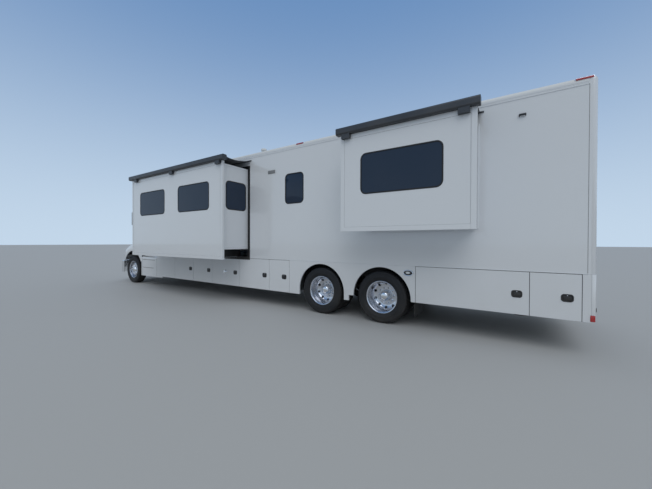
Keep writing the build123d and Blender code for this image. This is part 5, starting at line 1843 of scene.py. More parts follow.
def sloped_loop(corners: Sequence[tuple[float, float]], radius: float, grow: float, steps: int = 6) -> Loop:
    """Convex outline grown by a distance, with rounded corners.

    Args:
        corners: Its corners, counterclockwise.
        radius: Corner radius before it is grown.
        grow: Distance that each side moves outward.
        steps: Steps in each corner.

    Returns:
        The points.
    """
    moved = []
    count = len(corners)
    for k in range(count):
        a, b, c = corners[k - 1], corners[k], corners[(k + 1) % count]
        first = Vector((b[0] - a[0], b[1] - a[1])).normalized()
        second = Vector((c[0] - b[0], c[1] - b[1])).normalized()
        normal = (Vector((first.y, -first.x)) + Vector((second.y, -second.x))).normalized()
        scale = 1.0 / max(normal.dot(Vector((first.y, -first.x))), 0.2)
        moved.append(Vector(b) + normal * grow * scale)
    points = []
    for k in range(count):
        a, b, c = moved[k - 1], moved[k], moved[(k + 1) % count]
        before, after = (a - b).normalized(), (c - b).normalized()
        half_turn = (pi - before.angle(after)) / 2
        reach = min(max(radius + grow, 0.001) * tan(half_turn), 0.45 * (a - b).length, 0.45 * (c - b).length)
        points += bent(tuple(b + before * reach), tuple(b), tuple(b + after * reach), steps)
    return points


@dataclass
class CabFittings:
    """Outside of the cab: door seals, handles, mirrors, wipers, steps and grab rails."""

    layout: Layout
    border: float = 0.09
    sill: float = 1.72
    door_top: float = 2.56
    lean: float = 0.6111
    slope_height: float = 1.74
    window_corner: float = 0.07
    mirror_width: float = 0.15
    mirror_depth: float = 0.15
    mirror_height: float = 0.43
    hinge_heights: tuple[float, ...] = (1.20, 1.62)
    bracket_heights: tuple[float, ...] = (1.89, 2.095)
    rail_ends: tuple[float, float] = (1.28, 2.12)
    rail_setback: float = 0.045
    ledge_ends: tuple[float, float] = (0.075, 0.07)
    wiper_sides: tuple[float, ...] = (-0.66, 0.22)

    def __post_init__(self) -> None:
        """Read the doors' and the cab's places."""
        self.start, self.end = frame_station_box("cab_door_left")[:2]
        self.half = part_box("cab_door_left")[1].y - self.layout.middle
        self.slope_station = self.end + 0.285

    def window(self) -> list[tuple[float, float]]:
        """Corners of a door's window."""
        grow = self.border
        reach = self.slope_station + self.lean * self.slope_height - grow * (1 + self.lean ** 2) ** 0.5
        start, end, top = self.start + grow, self.end - grow, self.door_top - grow
        return [(start, self.sill), (end, self.sill), (end, (reach - end) / self.lean),
                (reach - self.lean * top, top), (start, top)]

    def build(self) -> None:
        """Make every fitting."""
        for hand in Hand:
            self.door(hand)
            self.mirror(hand)
            self.steps(hand)
        self.wipers()
        self.cab_seal()

    def door(self, hand: Hand) -> None:
        """Window seal, belt strip, handle and hinges of a door."""
        face = self.layout.flank(hand, self.half)
        body = f"cab_door_{hand.word}"
        corners = self.window()
        seal = Form()
        section = ((-0.012, -0.014), (-0.012, 0.002), (-0.006, 0.007), (0.010, 0.007), (0.016, 0.002),
                   (0.016, -0.001))
        seal.rim(face, lambda g: sloped_loop(corners, self.window_corner, g), section)
        seal.slab(face, self.start + 0.02, self.end - 0.02, self.sill - 0.030, self.sill - 0.014, -0.001,
                  0.006)
        seal.piece(f"{body}_window_seal", body, RUBBER_SEAL)
        handle, cup, lock = Form(), Form(), Form()
        u, v = self.start + 0.13, 1.56
        cup.panel(face, u - 0.085, u + 0.085, v - 0.042, v + 0.042, 0.03, -0.001, 0.004, 0.003)
        handle.panel(face, u - 0.070, u + 0.070, v - 0.012, v + 0.024, 0.012, 0.004, 0.030, 0.010)
        cup.piece(f"{body}_handle_cup", body, BLACK_PLASTIC)
        handle.piece(f"{body}_handle", body, CHROME)
        lock.turned(face.point(u + 0.05, v - 0.028, 0.002), face.out, stud(0.011, 0.008, 0.006, 0.008), 24)
        lock.piece(f"{body}_lock", body, CHROME)
        hinges = Form()
        for height in self.hinge_heights:
            hinges.turned(face.point(self.end - 0.012, height, 0.012), UPWARD,
                          ((-0.04, 0.0), (-0.04, 0.008), (0.04, 0.008), (0.04, 0.0)), 16)
            hinges.panel(face, self.end - 0.060, self.end - 0.006, height - 0.035, height + 0.035, 0.008,
                         -0.001, 0.006)
        hinges.piece(f"{body}_hinges", body, BODY_WHITE)
        rail, station = Form(), self.start - self.rail_setback
        path = [face.point(station, z, n) for z, n in (
            (1.28, 0.0), (1.285, 0.030), (1.31, 0.050), (1.36, 0.055), (1.85, 0.055), (2.04, 0.055),
            (2.09, 0.050), (2.115, 0.030), (2.12, 0.0))]
        rail.tube(path, 0.013, 14)
        for height in self.rail_ends:
            rail.turned(face.point(station, height), face.out, stud(0.026, 0.009, 0.006, 0.02), 24)
        rail.piece(f"cab_grab_rail_{hand.word}", "coach", CHROME)

    def mirror(self, hand: Hand) -> None:
        """Main and wide-angle glasses in the back of a mirror head, and its arm brackets."""
        low, high = next(box for box in solids("mirrors") if self.layout.hand(box[0].y) is hand)
        outer = (high.y if hand is Hand.LEFT else low.y) - self.layout.middle
        y0, y1 = sorted((outer - hand.value * self.mirror_width, outer))
        foot, top, front = high.z - self.mirror_height, high.z, self.layout.station(high.x)
        face = self.layout.end(front - self.mirror_depth, forward=False)
        glass, border = Form(), Form()
        for z0, z1 in ((foot + 0.135, top - 0.012), (foot + 0.012, foot + 0.125)):
            border.panel(face, y0 + 0.010, y1 - 0.010, z0 - 0.004, z1 + 0.004, 0.02, -0.02, 0.003)
            glass.panel(face, y0 + 0.016, y1 - 0.016, z0 + 0.002, z1 - 0.002, 0.016, 0.0, 0.0045, 0.001)
        border.piece(f"mirror_border_{hand.word}", "coach", RUBBER_SEAL)
        glass.piece(f"mirror_glass_{hand.word}", "coach", CHROME)
        brackets = Form()
        skin = self.layout.flank(hand, self.half)
        station = front - self.mirror_depth / 2 - 0.085
        for height in self.bracket_heights:
            brackets.panel(skin, station - 0.05, station + 0.05, height - 0.045, height + 0.045, 0.012,
                           -0.001, 0.008)
            for offset in (-0.034, 0.034):
                brackets.turned(skin.point(station + offset, height, 0.006), skin.out,
                                stud(0.009, 0.009, 0.007, 0.006), 12)
        brackets.piece(f"mirror_brackets_{hand.word}", "coach", BLACK_PLASTIC)

    def steps(self, hand: Hand) -> None:
        """Ledge between the cab and the fairing below it, and the fairing's groove, slit and seams."""
        face = self.layout.wall(hand)
        ledge, lines, tread = Form(), Form(), Form()
        start, end = self.start - self.ledge_ends[0], self.end + self.ledge_ends[1]
        extrude(ledge, face, (
            (0.880, -0.040), (0.880, -0.004), (0.930, -0.001), (0.948, -0.008), (0.960, -0.030),
            (0.972, -0.080), (0.995, -0.125), (1.020, -0.147), (1.020, -0.185), (0.950, -0.185),
            (0.930, -0.050),
        ), start, end)
        ledge.piece(f"cab_ledge_{hand.word}", "coach", BODY_WHITE, ease=0.004)
        # Flat dark strips: the groove's is painted shade in place of its recess, the slit's and the seams'
        # are dark gaps.
        lines.slab(face, start + 0.20, self.end - 0.05, 0.596, 0.608, -0.002, 0.0008)
        lines.slab(face, start + 0.12, self.end - 0.02, 0.862, 0.872, -0.002, 0.0008)
        lines.slab(face, self.end - 0.003, self.end + 0.003, 0.33, 0.93, -0.002, 0.0008)
        lines.slab(face, start + 0.003, start + 0.009, 0.33, 0.93, -0.002, 0.0008)
        lines.piece(f"cab_fairing_lines_{hand.word}", "coach", RUBBER_SEAL)
        for number in range(9):
            out = -0.030 - 0.010 * number
            height = 0.958 + 0.0018 * number
            tread.slab(face, start + 0.20, self.end - 0.10, height, height + 0.006, out - 0.004, out)
        tread.piece(f"cab_ledge_grip_{hand.word}", "coach", BLACK_PLASTIC)

    def wipers(self) -> None:
        """Two wipers parked on the windshield, with their spindles."""
        arms, blades = Form(), Form()
        out = Vector((1, 0, self.lean)).normalized()
        up = Vector((-self.lean, 0, 1)).normalized()
        foot = self.layout.place(self.slope_station + 0.105, 0, self.slope_height)
        face = Face(foot, LEFTWARD, up, out)
        for side in self.wiper_sides:
            path = [face.point(side, 0.075, 0.012), face.point(side, 0.075, 0.040),
                    face.point(side + 0.03, 0.090, 0.046), face.point(side + 0.30, 0.165, 0.030),
                    face.point(side + 0.42, 0.195, 0.030)]
            arms.tube(path, 0.007, 10)
            arms.turned(face.point(side, 0.075, -0.002), out,
                        ((0.0, 0.022), (0.018, 0.020), (0.026, 0.014), (0.026, 0.0)), 20)
            blades.slab(face, side + 0.06, side + 0.72, 0.188, 0.198, 0.006, 0.018)
            blades.slab(face, side + 0.12, side + 0.66, 0.190, 0.196, 0.018, 0.026)
        arms.piece("wiper_arms", "coach", BLACK_PLASTIC)
        blades.piece("wiper_blades", "coach", RUBBER_SEAL, ease=0.002)

    def cab_seal(self) -> None:
        """Ribbed rubber between the cab's back and the coach's bulkhead."""
        form = Form()
        station = self.start - 0.08
        low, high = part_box("cab_shell")
        face = self.layout.end(station + 0.001, forward=True)
        foot, top = low.z, high.z - 0.012
        for hand in Hand:
            edge = hand.value * (self.half + 0.014)
            form.slab(face, hand.value * (self.half - 0.002), edge, foot, top, 0.0, 0.030)
            form.slab(face, hand.value * (self.half - 0.002), edge + hand.value * 0.006, foot, top, 0.010,
                      0.020)
        form.piece("cab_back_seal", "coach", RUBBER_SEAL, ease=0.003)


@dataclass
class Bumper:
    """Front bumper with let-in fog lamps, tow hooks in their pockets, a blank plate and a step pad."""

    layout: Layout
    lamp_offset: float = 0.50
    lamp_rise: float = 0.20
    lamp_radius: float = 0.070
    lamp_depth: float = 0.020
    hook_offset: float = 0.30
    hook_half: float = 0.046
    hook_depth: float = 0.046
    hook_corner: float = 0.030
    plate_half: float = 0.157
    plate_depth: float = 0.004
    clear: float = 0.0005
    edge: float = 0.012

    def __post_init__(self) -> None:
        """Read the bumper's place."""
        low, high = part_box("front_bumper")
        self.foot, self.top = low.z, high.z
        self.nose = self.layout.station(high.x)
        self.face = self.layout.end(self.nose, forward=True)

    def build(self) -> None:
        """Make every piece."""
        self.blade()
        self.fog_lamps()
        self.tow_hooks()
        trim = Form()
        half = self.plate_half - 0.002
        trim.panel(self.face, -half, half, self.foot + 0.10, self.foot + 0.26, 0.012, -0.0038, -self.clear,
                   0.001)
        trim.piece("front_plate_blank", "coach", SEALANT)
        pad = Form()
        deck = self.layout.deck(self.top)
        for number in range(7):
            out = self.nose - 0.028 + 0.0035 * number
            pad.slab(deck, out, out + 0.002, -0.60, 0.60, -0.001, 0.0015)
        pad.piece("bumper_top_grip", "coach", BLACK_PLASTIC)

    def blade(self) -> None:
        """The bumper itself, with pockets cut for what is let into it."""
        cutters = Form()
        face = self.face
        for hand in Hand:
            cutters.turned(face.point(hand.value * self.lamp_offset, self.foot + self.lamp_rise), face.out,
                           ((-self.lamp_depth, 0.0), (-self.lamp_depth, self.lamp_radius),
                            (0.02, self.lamp_radius), (0.02, 0.0)), 64)
            middle = hand.value * self.hook_offset
            self.block(cutters, middle - self.hook_half, middle + self.hook_half, self.foot + 0.13,
                       self.foot + 0.27, self.hook_corner, self.hook_depth)
        self.block(cutters, -self.plate_half, self.plate_half, self.foot + 0.098, self.foot + 0.262, 0.014,
                   self.plate_depth)
        node = frame["nodes"]["front_bumper"]
        blank = linked("bumper blank", node.data.copy())
        blank.data.transform(node.matrix_world)
        clean(blank, self.edge)
        obj = placed("bumper_blade", carved(blank, cutters), "coach", CHROME, ("front_bumper",))
        flat_faces = obj.modifiers.new("flat faces stay flat", "WEIGHTED_NORMAL")
        flat_faces.keep_sharp = True
        flat_faces.weight = 100

    def block(self, form: Form, u0: float, u1: float, v0: float, v1: float, corner: float,
              depth: float) -> None:
        """Closed block with round corners that reaches from outside to a depth under the face."""
        form.risen(self.face, growing(u0, u1, v0, v1, corner), ((0.0, -depth), (0.0, 0.02)))

    def fog_lamps(self) -> None:
        """Round lamps sunk into the face."""
        rings, lenses = Form(), Form()
        r, n = self.lamp_radius - self.clear, -self.lamp_depth + self.clear
        for hand in Hand:
            centre = self.face.point(hand.value * self.lamp_offset, self.foot + self.lamp_rise)
            rings.turned(centre, self.face.out, ((n, 0.0), (n, r), (-self.clear, r), (-self.clear, r - 0.006),
                                                 (-0.006, r - 0.012), (-0.016, r - 0.015), (-0.016, 0.0)), 64)
            lenses.turned(centre, self.face.out,
                          ((-0.0165, 0.054), (-0.010, 0.054), (-0.005, 0.040), (-0.003, 0.0)), 48)
        rings.piece("fog_lamp_rings", "coach", BLACK_PLASTIC)
        lenses.piece("fog_lamp_lenses", "coach", PALE_LENS)

    def tow_hooks(self) -> None:
        """Black pockets with a hook loop in each."""
        hooks = Form()
        wall = 0.003
        for hand in Hand:
            middle = hand.value * self.hook_offset
            half = self.hook_half - self.clear
            outline = growing(middle - half, middle + half, self.foot + 0.13 + self.clear,
                              self.foot + 0.27 - self.clear, self.hook_corner)
            hooks.risen(self.face, outline, ((0.0, -self.hook_depth + self.clear), (0.0, -self.clear),
                                             (-wall, -self.clear), (-wall, -self.hook_depth + wall)))
            hooks.tube([self.face.point(middle, self.foot + z, n) for z, n in (
                (0.160, -0.043), (0.160, -0.024), (0.175, -0.014), (0.225, -0.014), (0.240, -0.024),
                (0.240, -0.043))], 0.009, 12)
        hooks.piece("tow_hooks", "coach", BLACK_PLASTIC)


@dataclass
class EngineBay:
    """What shows through the grille and under the raised hood: radiator, engine top and air cleaner."""

    layout: Layout
    fin_count: int = 60
    cover_count: int = 6
    blade_count: int = 9

    def build(self) -> None:
        """Make the engine's dressing on its plain block."""
        nose = self.layout.station(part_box("grille")[0].x)
        _, end, _, top = frame_station_box("engine")
        core, tanks, fins = Form(), Form(), Form()
        place = self.layout.place
        core.block(place(nose - 0.20, -0.36, 0.78), place(nose - 0.15, 0.36, 1.30))
        core.piece("radiator_core", "coach", BAY_LINER)
        for side in (-0.375, 0.375):
            tanks.block(place(nose - 0.215, side - 0.018, 0.77), place(nose - 0.135, side + 0.018, 1.31))
        tanks.block(place(nose - 0.215, -0.393, 1.295), place(nose - 0.135, 0.393, 1.34))
        tanks.block(place(nose - 0.215, -0.393, 0.745), place(nose - 0.135, 0.393, 0.785))
        tanks.piece("radiator_tanks", "coach", BLACK_PLASTIC, ease=0.008)
        for number in range(self.fin_count):
            side = -0.352 + 0.704 * number / (self.fin_count - 1)
            fins.block(place(nose - 0.152, side - 0.0012, 0.79), place(nose - 0.146, side + 0.0012, 1.29))
        fins.piece("radiator_fins", "coach", POLISHED)
        cover = Form()
        for number in range(self.cover_count):
            begin = end - 0.98 + 0.155 * number
            cover.block(place(begin, -0.145, top - 0.01), place(begin + 0.135, 0.145, top + 0.055))
        cover.piece("valve_covers", "coach", BLACK_PLASTIC, ease=0.02)
        pipes = Form()
        for hand, height, radius in ((Hand.LEFT, top - 0.12, 0.035), (Hand.RIGHT, top - 0.16, 0.045)):
            path = [place(end - 1.0, hand.value * 0.39, height), place(end - 0.5, hand.value * 0.40, height),
                    place(end - 0.1, hand.value * 0.39, height),
                    place(end + 0.02, hand.value * 0.34, height - 0.04)]
            pipes.tube(path, radius, 18)
        pipes.turned(place(end - 0.75, -0.52, top - 0.10), FORWARD,
                     ((0.0, 0.10), (0.02, 0.125), (0.40, 0.125), (0.42, 0.10)), 32)
        pipes.piece("engine_pipes", "coach", CHARCOAL)
        fan = Form()
        hub = place(end + 0.002, 0, 1.06)
        fan.turned(hub, FORWARD, stud(0.07, 0.06, 0.05, 0.05), 32)
        for number in range(self.blade_count):
            turn = tau * number / self.blade_count
            spoke, edge = Vector((0, sin(turn), cos(turn))), Vector((0, cos(turn), -sin(turn)))
            corners = [
                hub + FORWARD * ahead + spoke * out + edge * across
                for ahead, out, across in ((0.012, 0.06, -0.03), (0.045, 0.06, 0.03), (0.050, 0.27, 0.055),
                                           (0.008, 0.27, -0.055))
            ]
            fan.capped([corners, [corner + FORWARD * 0.003 for corner in corners]])
        fan.piece("engine_fan", "coach", BLACK_PLASTIC)


@dataclass(frozen=True)
class PadShape:
    """One sewn pad of a seat: its limits, its corner radius, its swelling and its channels.

    Stations and heights are measured from the seat's own rear and floor, sides from its middle.
    """

    name: str
    stations: tuple[float, float]
    half_width: float
    heights: tuple[float, float]
    upright: bool
    corner: float
    swell: float
    channels: tuple[float, ...] = ()


@dataclass
class CabInterior:
    """Two seats with sewn pads, the dashboard with its gauges, and the steering wheel."""

    layout: Layout
    voxel: float = 0.016
    pressure: float = 4.0
    frames: int = 20
    fill: float = 0.7
    edge: float = 0.022
    channel_depth: float = 0.007
    channel_width: float = 0.008
    widest_seat: float = 1.0
    outlets: tuple[float, ...] = (-0.86, -0.36, 0.12, 0.95)
    dials: Knots = ((0.42, 0.030), (0.505, 0.048), (0.60, 0.030), (0.695, 0.048), (0.78, 0.030))
    dial_height: float = 0.372
    pads: tuple[PadShape, ...] = (
        PadShape("seat_pad", (0.105, 0.568), 0.245, (0.225, 0.368), False, 0.07, 0.014, (-0.15, 0.15)),
        PadShape("seat_back", (0.018, 0.118), 0.240, (0.405, 1.035), True, 0.08, 0.012, (-0.145, 0.145)),
        PadShape("seat_headrest", (0.032, 0.098), 0.118, (1.075, 1.225), True, 0.05, 0.012),
    )

    def build(self) -> None:
        """Make the seats, the dashboard, the wheel and the floor mat."""
        boxes = solids("cab_interior")
        seats = [box for box in boxes if box[1].y - box[0].y < self.widest_seat]
        dashes = [box for box in boxes if box[1].y - box[0].y >= self.widest_seat]
        self.floor = seats[0][0].z
        self.seat_rear = self.layout.station(seats[0][0].x)
        self.seat_side = abs((seats[0][0].y + seats[0][1].y) / 2 - self.layout.middle)
        self.dash_front = self.layout.station(dashes[0][1].x)
        self.dash_half = (dashes[0][1].y - dashes[0][0].y) / 2
        for shape in self.pads:
            self.pad(shape)
        self.frames_and_posts()
        self.dashboard()
        self.gauges()
        self.steering_wheel()
        self.floor_mat()

    def pad(self, shape: PadShape) -> None:
        """Blow one pad up, sew its channels and place it in both seats."""
        mesh = self.cover(shape)
        self.sew(mesh, shape)
        for hand in Hand:
            own = mesh.copy()
            for vertex in own.vertices:
                vertex.co.y = self.layout.middle + hand.value * vertex.co.y
            if hand is Hand.RIGHT:
                own.flip_normals()
            own.shade_smooth()
            obj = placed(f"{shape.name}_{hand.word}", own, "coach", CAB_TRIM, ("cab_interior",))

    def cover(self, shape: PadShape) -> bpy.types.Mesh:
        """Pad's cover, with Y as the side distance.

        Args:
            shape: Which pad.
        """
        s0, s1 = (self.seat_rear + s for s in shape.stations)
        z0, z1 = (self.floor + z for z in shape.heights)
        y0, y1 = self.seat_side - shape.half_width, self.seat_side + shape.half_width
        rear = self.layout.rear
        if shape.upright:
            face = Face(Vector((rear, 0, 0)), LEFTWARD, UPWARD, FORWARD)
            limits, n0, n1 = (y0, y1, z0, z1), s0, s1
        else:
            face = Face(Vector((rear, 0, 0)), FORWARD, LEFTWARD, UPWARD)
            limits, n0, n1 = (s0, s1, y0, y1), z0, z1
        e = self.edge
        rows = ((-e, n0), (-0.3 * e, n0 + 0.3 * e), (0.0, n0 + e), (0.0, n1 - e), (-0.3 * e, n1 - 0.3 * e),
                (-e, n1))
        form = Form()
        form.risen(face, growing(*limits, shape.corner), rows)
        blank = linked("pad blank", form.mesh("pad blank", 60.0))
        remesh = blank.modifiers.new("voxels", "REMESH")
        remesh.mode = "VOXEL"
        remesh.voxel_size = self.voxel
        mesh = settled(blank)
        self.swell(mesh, shape.swell)
        smooth = linked("pad smooth", mesh)
        smooth.modifiers.new("rounding", "SUBSURF").levels = 1
        return settled(smooth)

    def swell(self, mesh: bpy.types.Mesh, limit: float) -> None:
        """Blow a cover up from inside and cap how far each of its points moves."""
        cover = linked("pad cover", mesh.copy())
        cloth = cover.modifiers.new("cover cloth", "CLOTH")
        cloth.settings.use_pressure = True
        cloth.settings.uniform_pressure_force = self.pressure
        cloth.settings.effector_weights.gravity = 0.0
        for number in range(1, self.frames + 1):
            bpy.context.scene.frame_set(number)
        blown = settled(cover)
        bpy.context.scene.frame_set(1)
        for vertex, moved in zip(mesh.vertices, blown.vertices):
            shift = moved.co - vertex.co
            vertex.co += shift * min(1.0, limit / max(shift.length, 1e-9))

    def sew(self, mesh: bpy.types.Mesh, shape: PadShape) -> None:
        """Draw the cover in along its sewn channels, on the side that is sat on."""
        face_out = FORWARD if shape.upright else UPWARD
        for vertex in mesh.vertices:
            if vertex.normal.dot(face_out) < 0.4:
                continue
            side = vertex.co.y - self.seat_side
            depth = sum(exp(-((side - c) / self.channel_width) ** 2) for c in shape.channels)
            vertex.co -= face_out * self.channel_depth * depth

    def frames_and_posts(self) -> None:
        """Seat pedestals, back shells and headrest posts."""
        bases, posts = Form(), Form()
        for hand in Hand:
            middle = hand.value * self.seat_side
            place = self.layout.place
            rear, floor = self.seat_rear, self.floor
            bases.block(place(rear + 0.13, middle - 0.18, floor),
                        place(rear + 0.50, middle + 0.18, floor + 0.16))
            bases.block(place(rear + 0.10, middle - 0.23, floor + 0.16),
                        place(rear + 0.55, middle + 0.23, floor + 0.22))
            bases.block(place(rear + 0.002, middle - 0.20, floor + 0.30),
                        place(rear + 0.022, middle + 0.20, floor + 0.98))
            for offset in (-0.06, 0.06):
                foot = place(rear + 0.065, middle + offset, floor + 1.0)
                posts.tube([foot, foot + UPWARD * 0.05, foot + UPWARD * 0.12], 0.006, 10)
        bases.piece("seat_bases", "coach", BLACK_PLASTIC, ease=0.012)
        posts.piece("headrest_posts", "coach", CHROME)

    def dashboard(self) -> None:
        """Moulded dashboard with a hooded cluster and air outlets."""
        front, floor = self.dash_front, self.floor
        form = Form()
        face = self.layout.end(0, forward=True)
        extrude(form, face, (
            (floor + 0.02, front - 0.13), (floor + 0.02, front - 0.004), (floor + 0.44, front - 0.003),
            (floor + 0.488, front - 0.018), (floor + 0.500, front - 0.07), (floor + 0.485, front - 0.15),
            (floor + 0.455, front - 0.205), (floor + 0.41, front - 0.232), (floor + 0.31, front - 0.222),
            (floor + 0.25, front - 0.16),
        ), -self.dash_half + 0.004, self.dash_half - 0.004)
        form.piece("dashboard", "coach", CAB_TRIM, ease=0.012)
        hood = Form()
        extrude(hood, face, (
            (floor + 0.44, front - 0.240), (floor + 0.495, front - 0.225), (floor + 0.503, front - 0.17),
            (floor + 0.495, front - 0.08), (floor + 0.47, front - 0.08),
        ), 0.33, 0.87)
        hood.piece("gauge_hood", "coach", BLACK_PLASTIC, ease=0.008)
        slats = Form()
        back = self.layout.end(front - 0.2365, forward=False)
        for middle in self.outlets:
            slats.panel(back, middle - 0.07, middle + 0.07, floor + 0.33, floor + 0.40, 0.01, -0.02, 0.002)
            for number in range(5):
                height = floor + 0.337 + 0.013 * number
                slats.slab(back, middle - 0.062, middle + 0.062, height, height + 0.005, 0.0, 0.006)
        slats.piece("dash_outlets", "coach", BLACK_PLASTIC)

    def gauges(self) -> None:
        """Round gauges with bright rings and plain pale faces."""
        rings, faces, needles = Form(), Form(), Form()
        back = self.layout.end(self.dash_front - 0.233, forward=False)
        height = self.floor + self.dial_height
        for side, radius in self.dials:
            centre = back.point(side, height, 0.004)
            rings.turned(centre, back.out, ((-0.02, radius + 0.004), (0.006, radius + 0.004), (0.008, radius),
                                            (0.003, radius - 0.003), (-0.004, radius - 0.003)), 32,
                         closed=True)
            faces.turned(centre, back.out,
                         ((-0.006, radius - 0.002), (-0.002, radius - 0.002), (-0.002, 0.0)), 32)
            needles.slab(back, side - 0.0015, side + 0.0015, height, height - 0.002 + radius * 0.8, 0.0025,
                         0.004)
        rings.piece("gauge_rings", "coach", CHROME)
        faces.piece("gauge_faces", "coach", PALE_LENS)
        needles.piece("gauge_needles", "coach", RED_LENS)

    def steering_wheel(self) -> None:
        """Padded wheel with four spokes on its column."""
        axis = Vector((-0.5, 0, 0.87)).normalized()
        centre = self.layout.place(self.dash_front - 0.374, 0.60, 1.69)
        right = LEFTWARD
        up = axis.cross(right).normalized()
        rim, boss = Form(), Form()
        section = [(0.0125 + 0.0125 * cos(tau * k / 12), 0.215 + 0.0145 * sin(tau * k / 12))
                   for k in range(12)]
        rim.turned(centre, axis, section, 72, closed=True)
        for turn in (radians(20), radians(160), radians(235), radians(305)):
            spoke = right * cos(turn) + up * sin(turn)
            path = [centre + spoke * r + axis * (0.0125 - 0.012 * (1 - r / 0.215))
                    for r in (0.04, 0.10, 0.16, 0.213)]
            rim.tube(path, 0.009, 10)
        rim.piece("steering_wheel_rim", "coach", BLACK_PLASTIC)
        boss.turned(centre, axis,
                    ((-0.02, 0.040), (-0.012, 0.058), (0.010, 0.058), (0.018, 0.050), (0.022, 0.030),
                     (0.023, 0.0)), 40)
        boss.turned(centre, -axis, ((0.0, 0.033), (0.10, 0.033), (0.102, 0.045), (0.20, 0.045), (0.205, 0.03),
                                    (0.255, 0.03)), 28)
        boss.piece("steering_column", "coach", CHARCOAL)

    def floor_mat(self) -> None:
        """Ribbed rubber mat over the cab's floor."""
        mat = Form()
        start, end = self.seat_rear - 0.07, self.dash_front - 0.02
        mat.slab(self.layout.deck(self.floor), start, end, -1.03, 1.03, 0.0005, 0.006)
        for number in range(34):
            side = -0.99 + 0.06 * number
            mat.slab(self.layout.deck(self.floor), start + 0.02, end - 0.02, side - 0.008, side + 0.008,
                     0.005, 0.0085)
        mat.piece("cab_floor_mat", "coach", RUBBER_SEAL)


@dataclass
class VehicleLamps:
    """Tail lamps, oval side lamps and roof markers: each with its bezel, dish and ribbed lens."""

    layout: Layout
    bezel: float = 0.010

    def build(self) -> None:
        """Tell the lamps apart by their boxes and make each."""
        self.bezels, self.dishes = Form(), Form()
        self.red, self.amber, self.pale = Form(), Form(), Form()
        for low, high in solids("lamps"):
            if high.x - low.x > 0.05:
                self.side_lamp(low, high)
            elif high.z - low.z > 0.05:
                self.tail_lamp(low, high)
            else:
                self.marker(low, high)
        self.bezels.piece("lamp_bezels", "coach", CHROME, replaces=("lamps",))
        self.dishes.piece("lamp_dishes", "coach", BLACK_PLASTIC)
        self.red.piece("lamp_lenses_red", "coach", RED_LENS)
        self.amber.piece("lamp_lenses_amber", "coach", AMBER_LENS)
        self.pale.piece("lamp_lenses_pale", "coach", PALE_LENS)

    def side_lamp(self, low: Vector, high: Vector) -> None:
        """Oval lamp in the wall: a bright bezel round a dark dish with a small lens."""
        face = self.layout.wall(self.layout.hand(low.y))
        u, v = self.layout.station((low.x + high.x) / 2), (low.z + high.z) / 2
        a, b = (high.x - low.x) / 2, (high.z - low.z) / 2
        section = ((0.0, -0.001), (0.0, 0.006), (-0.004, 0.0115), (-0.010, 0.0135), (-0.017, 0.011),
                   (-0.020, 0.004), (-0.020, -0.001))
        self.bezels.rim(face, growing_oval(u, v, a, b), section)
        self.dishes.plate(face, growing_oval(u, v, a - 0.019, b - 0.019), -0.001, 0.004, 0.001)
        self.pale.plate(face, growing_oval(u + 0.004, v + 0.002, a * 0.42, b * 0.38), 0.002, 0.012, 0.007)

    def tail_lamp(self, low: Vector, high: Vector) -> None:
        """Upright lamp on the rear cap: the lower one red with a reversing lens, the upper one amber."""
        face = self.layout.end(0, forward=False)
        y0, y1 = low.y - self.layout.middle, high.y - self.layout.middle
        z0, z1 = low.z, high.z
        b = self.bezel
        section = ((0.0, -0.001), (0.0, 0.009), (-0.002, 0.0125), (-b * 0.6, 0.0135), (-b, 0.011),
                   (-b, -0.001))
        self.bezels.rim(face, growing(y0, y1, z0, z1, 0.022), section)
        self.dishes.panel(face, y0 + b, y1 - b, z0 + b, z1 - b, 0.012, -0.001, 0.003)
        inner = (y0 + b + 0.002, y1 - b - 0.002)
        if z1 - z0 > 0.2:
            split = z0 + 0.075
            self.ribbed(self.pale, face, *inner, z0 + b + 0.002, split - 0.002)
            self.ribbed(self.red, face, *inner, split + 0.002, z1 - b - 0.002)
        else:
            self.ribbed(self.amber, face, *inner, z0 + b + 0.002, z1 - b - 0.002)

    def ribbed(self, form: Form, face: Face, u0: float, u1: float, v0: float, v1: float) -> None:
        """Lens with upright flutes."""
        form.panel(face, u0, u1, v0, v1, 0.008, 0.001, 0.009, 0.002)
        count = 12
        pitch = (u1 - u0 - 0.016) / count
        for number in range(count):
            middle = u0 + 0.008 + pitch * (number + 0.5)
            form.panel(face, middle - 0.36 * pitch, middle + 0.36 * pitch, v0 + 0.007, v1 - 0.007, 0.003,
                       0.006, 0.0115, 0.002)

    def marker(self, low: Vector, high: Vector) -> None:
        """Small marker lamp below the roof at the rear."""
        face = self.layout.end(0, forward=False)
        y0, y1 = low.y - self.layout.middle, high.y - self.layout.middle
        self.bezels.panel(face, y0, y1, low.z, high.z, 0.016, -0.001, 0.004, 0.002)
        self.red.panel(face, y0 + 0.008, y1 - 0.008, low.z + 0.006, high.z - 0.006, 0.011, 0.002, 0.0118,
                       0.005)


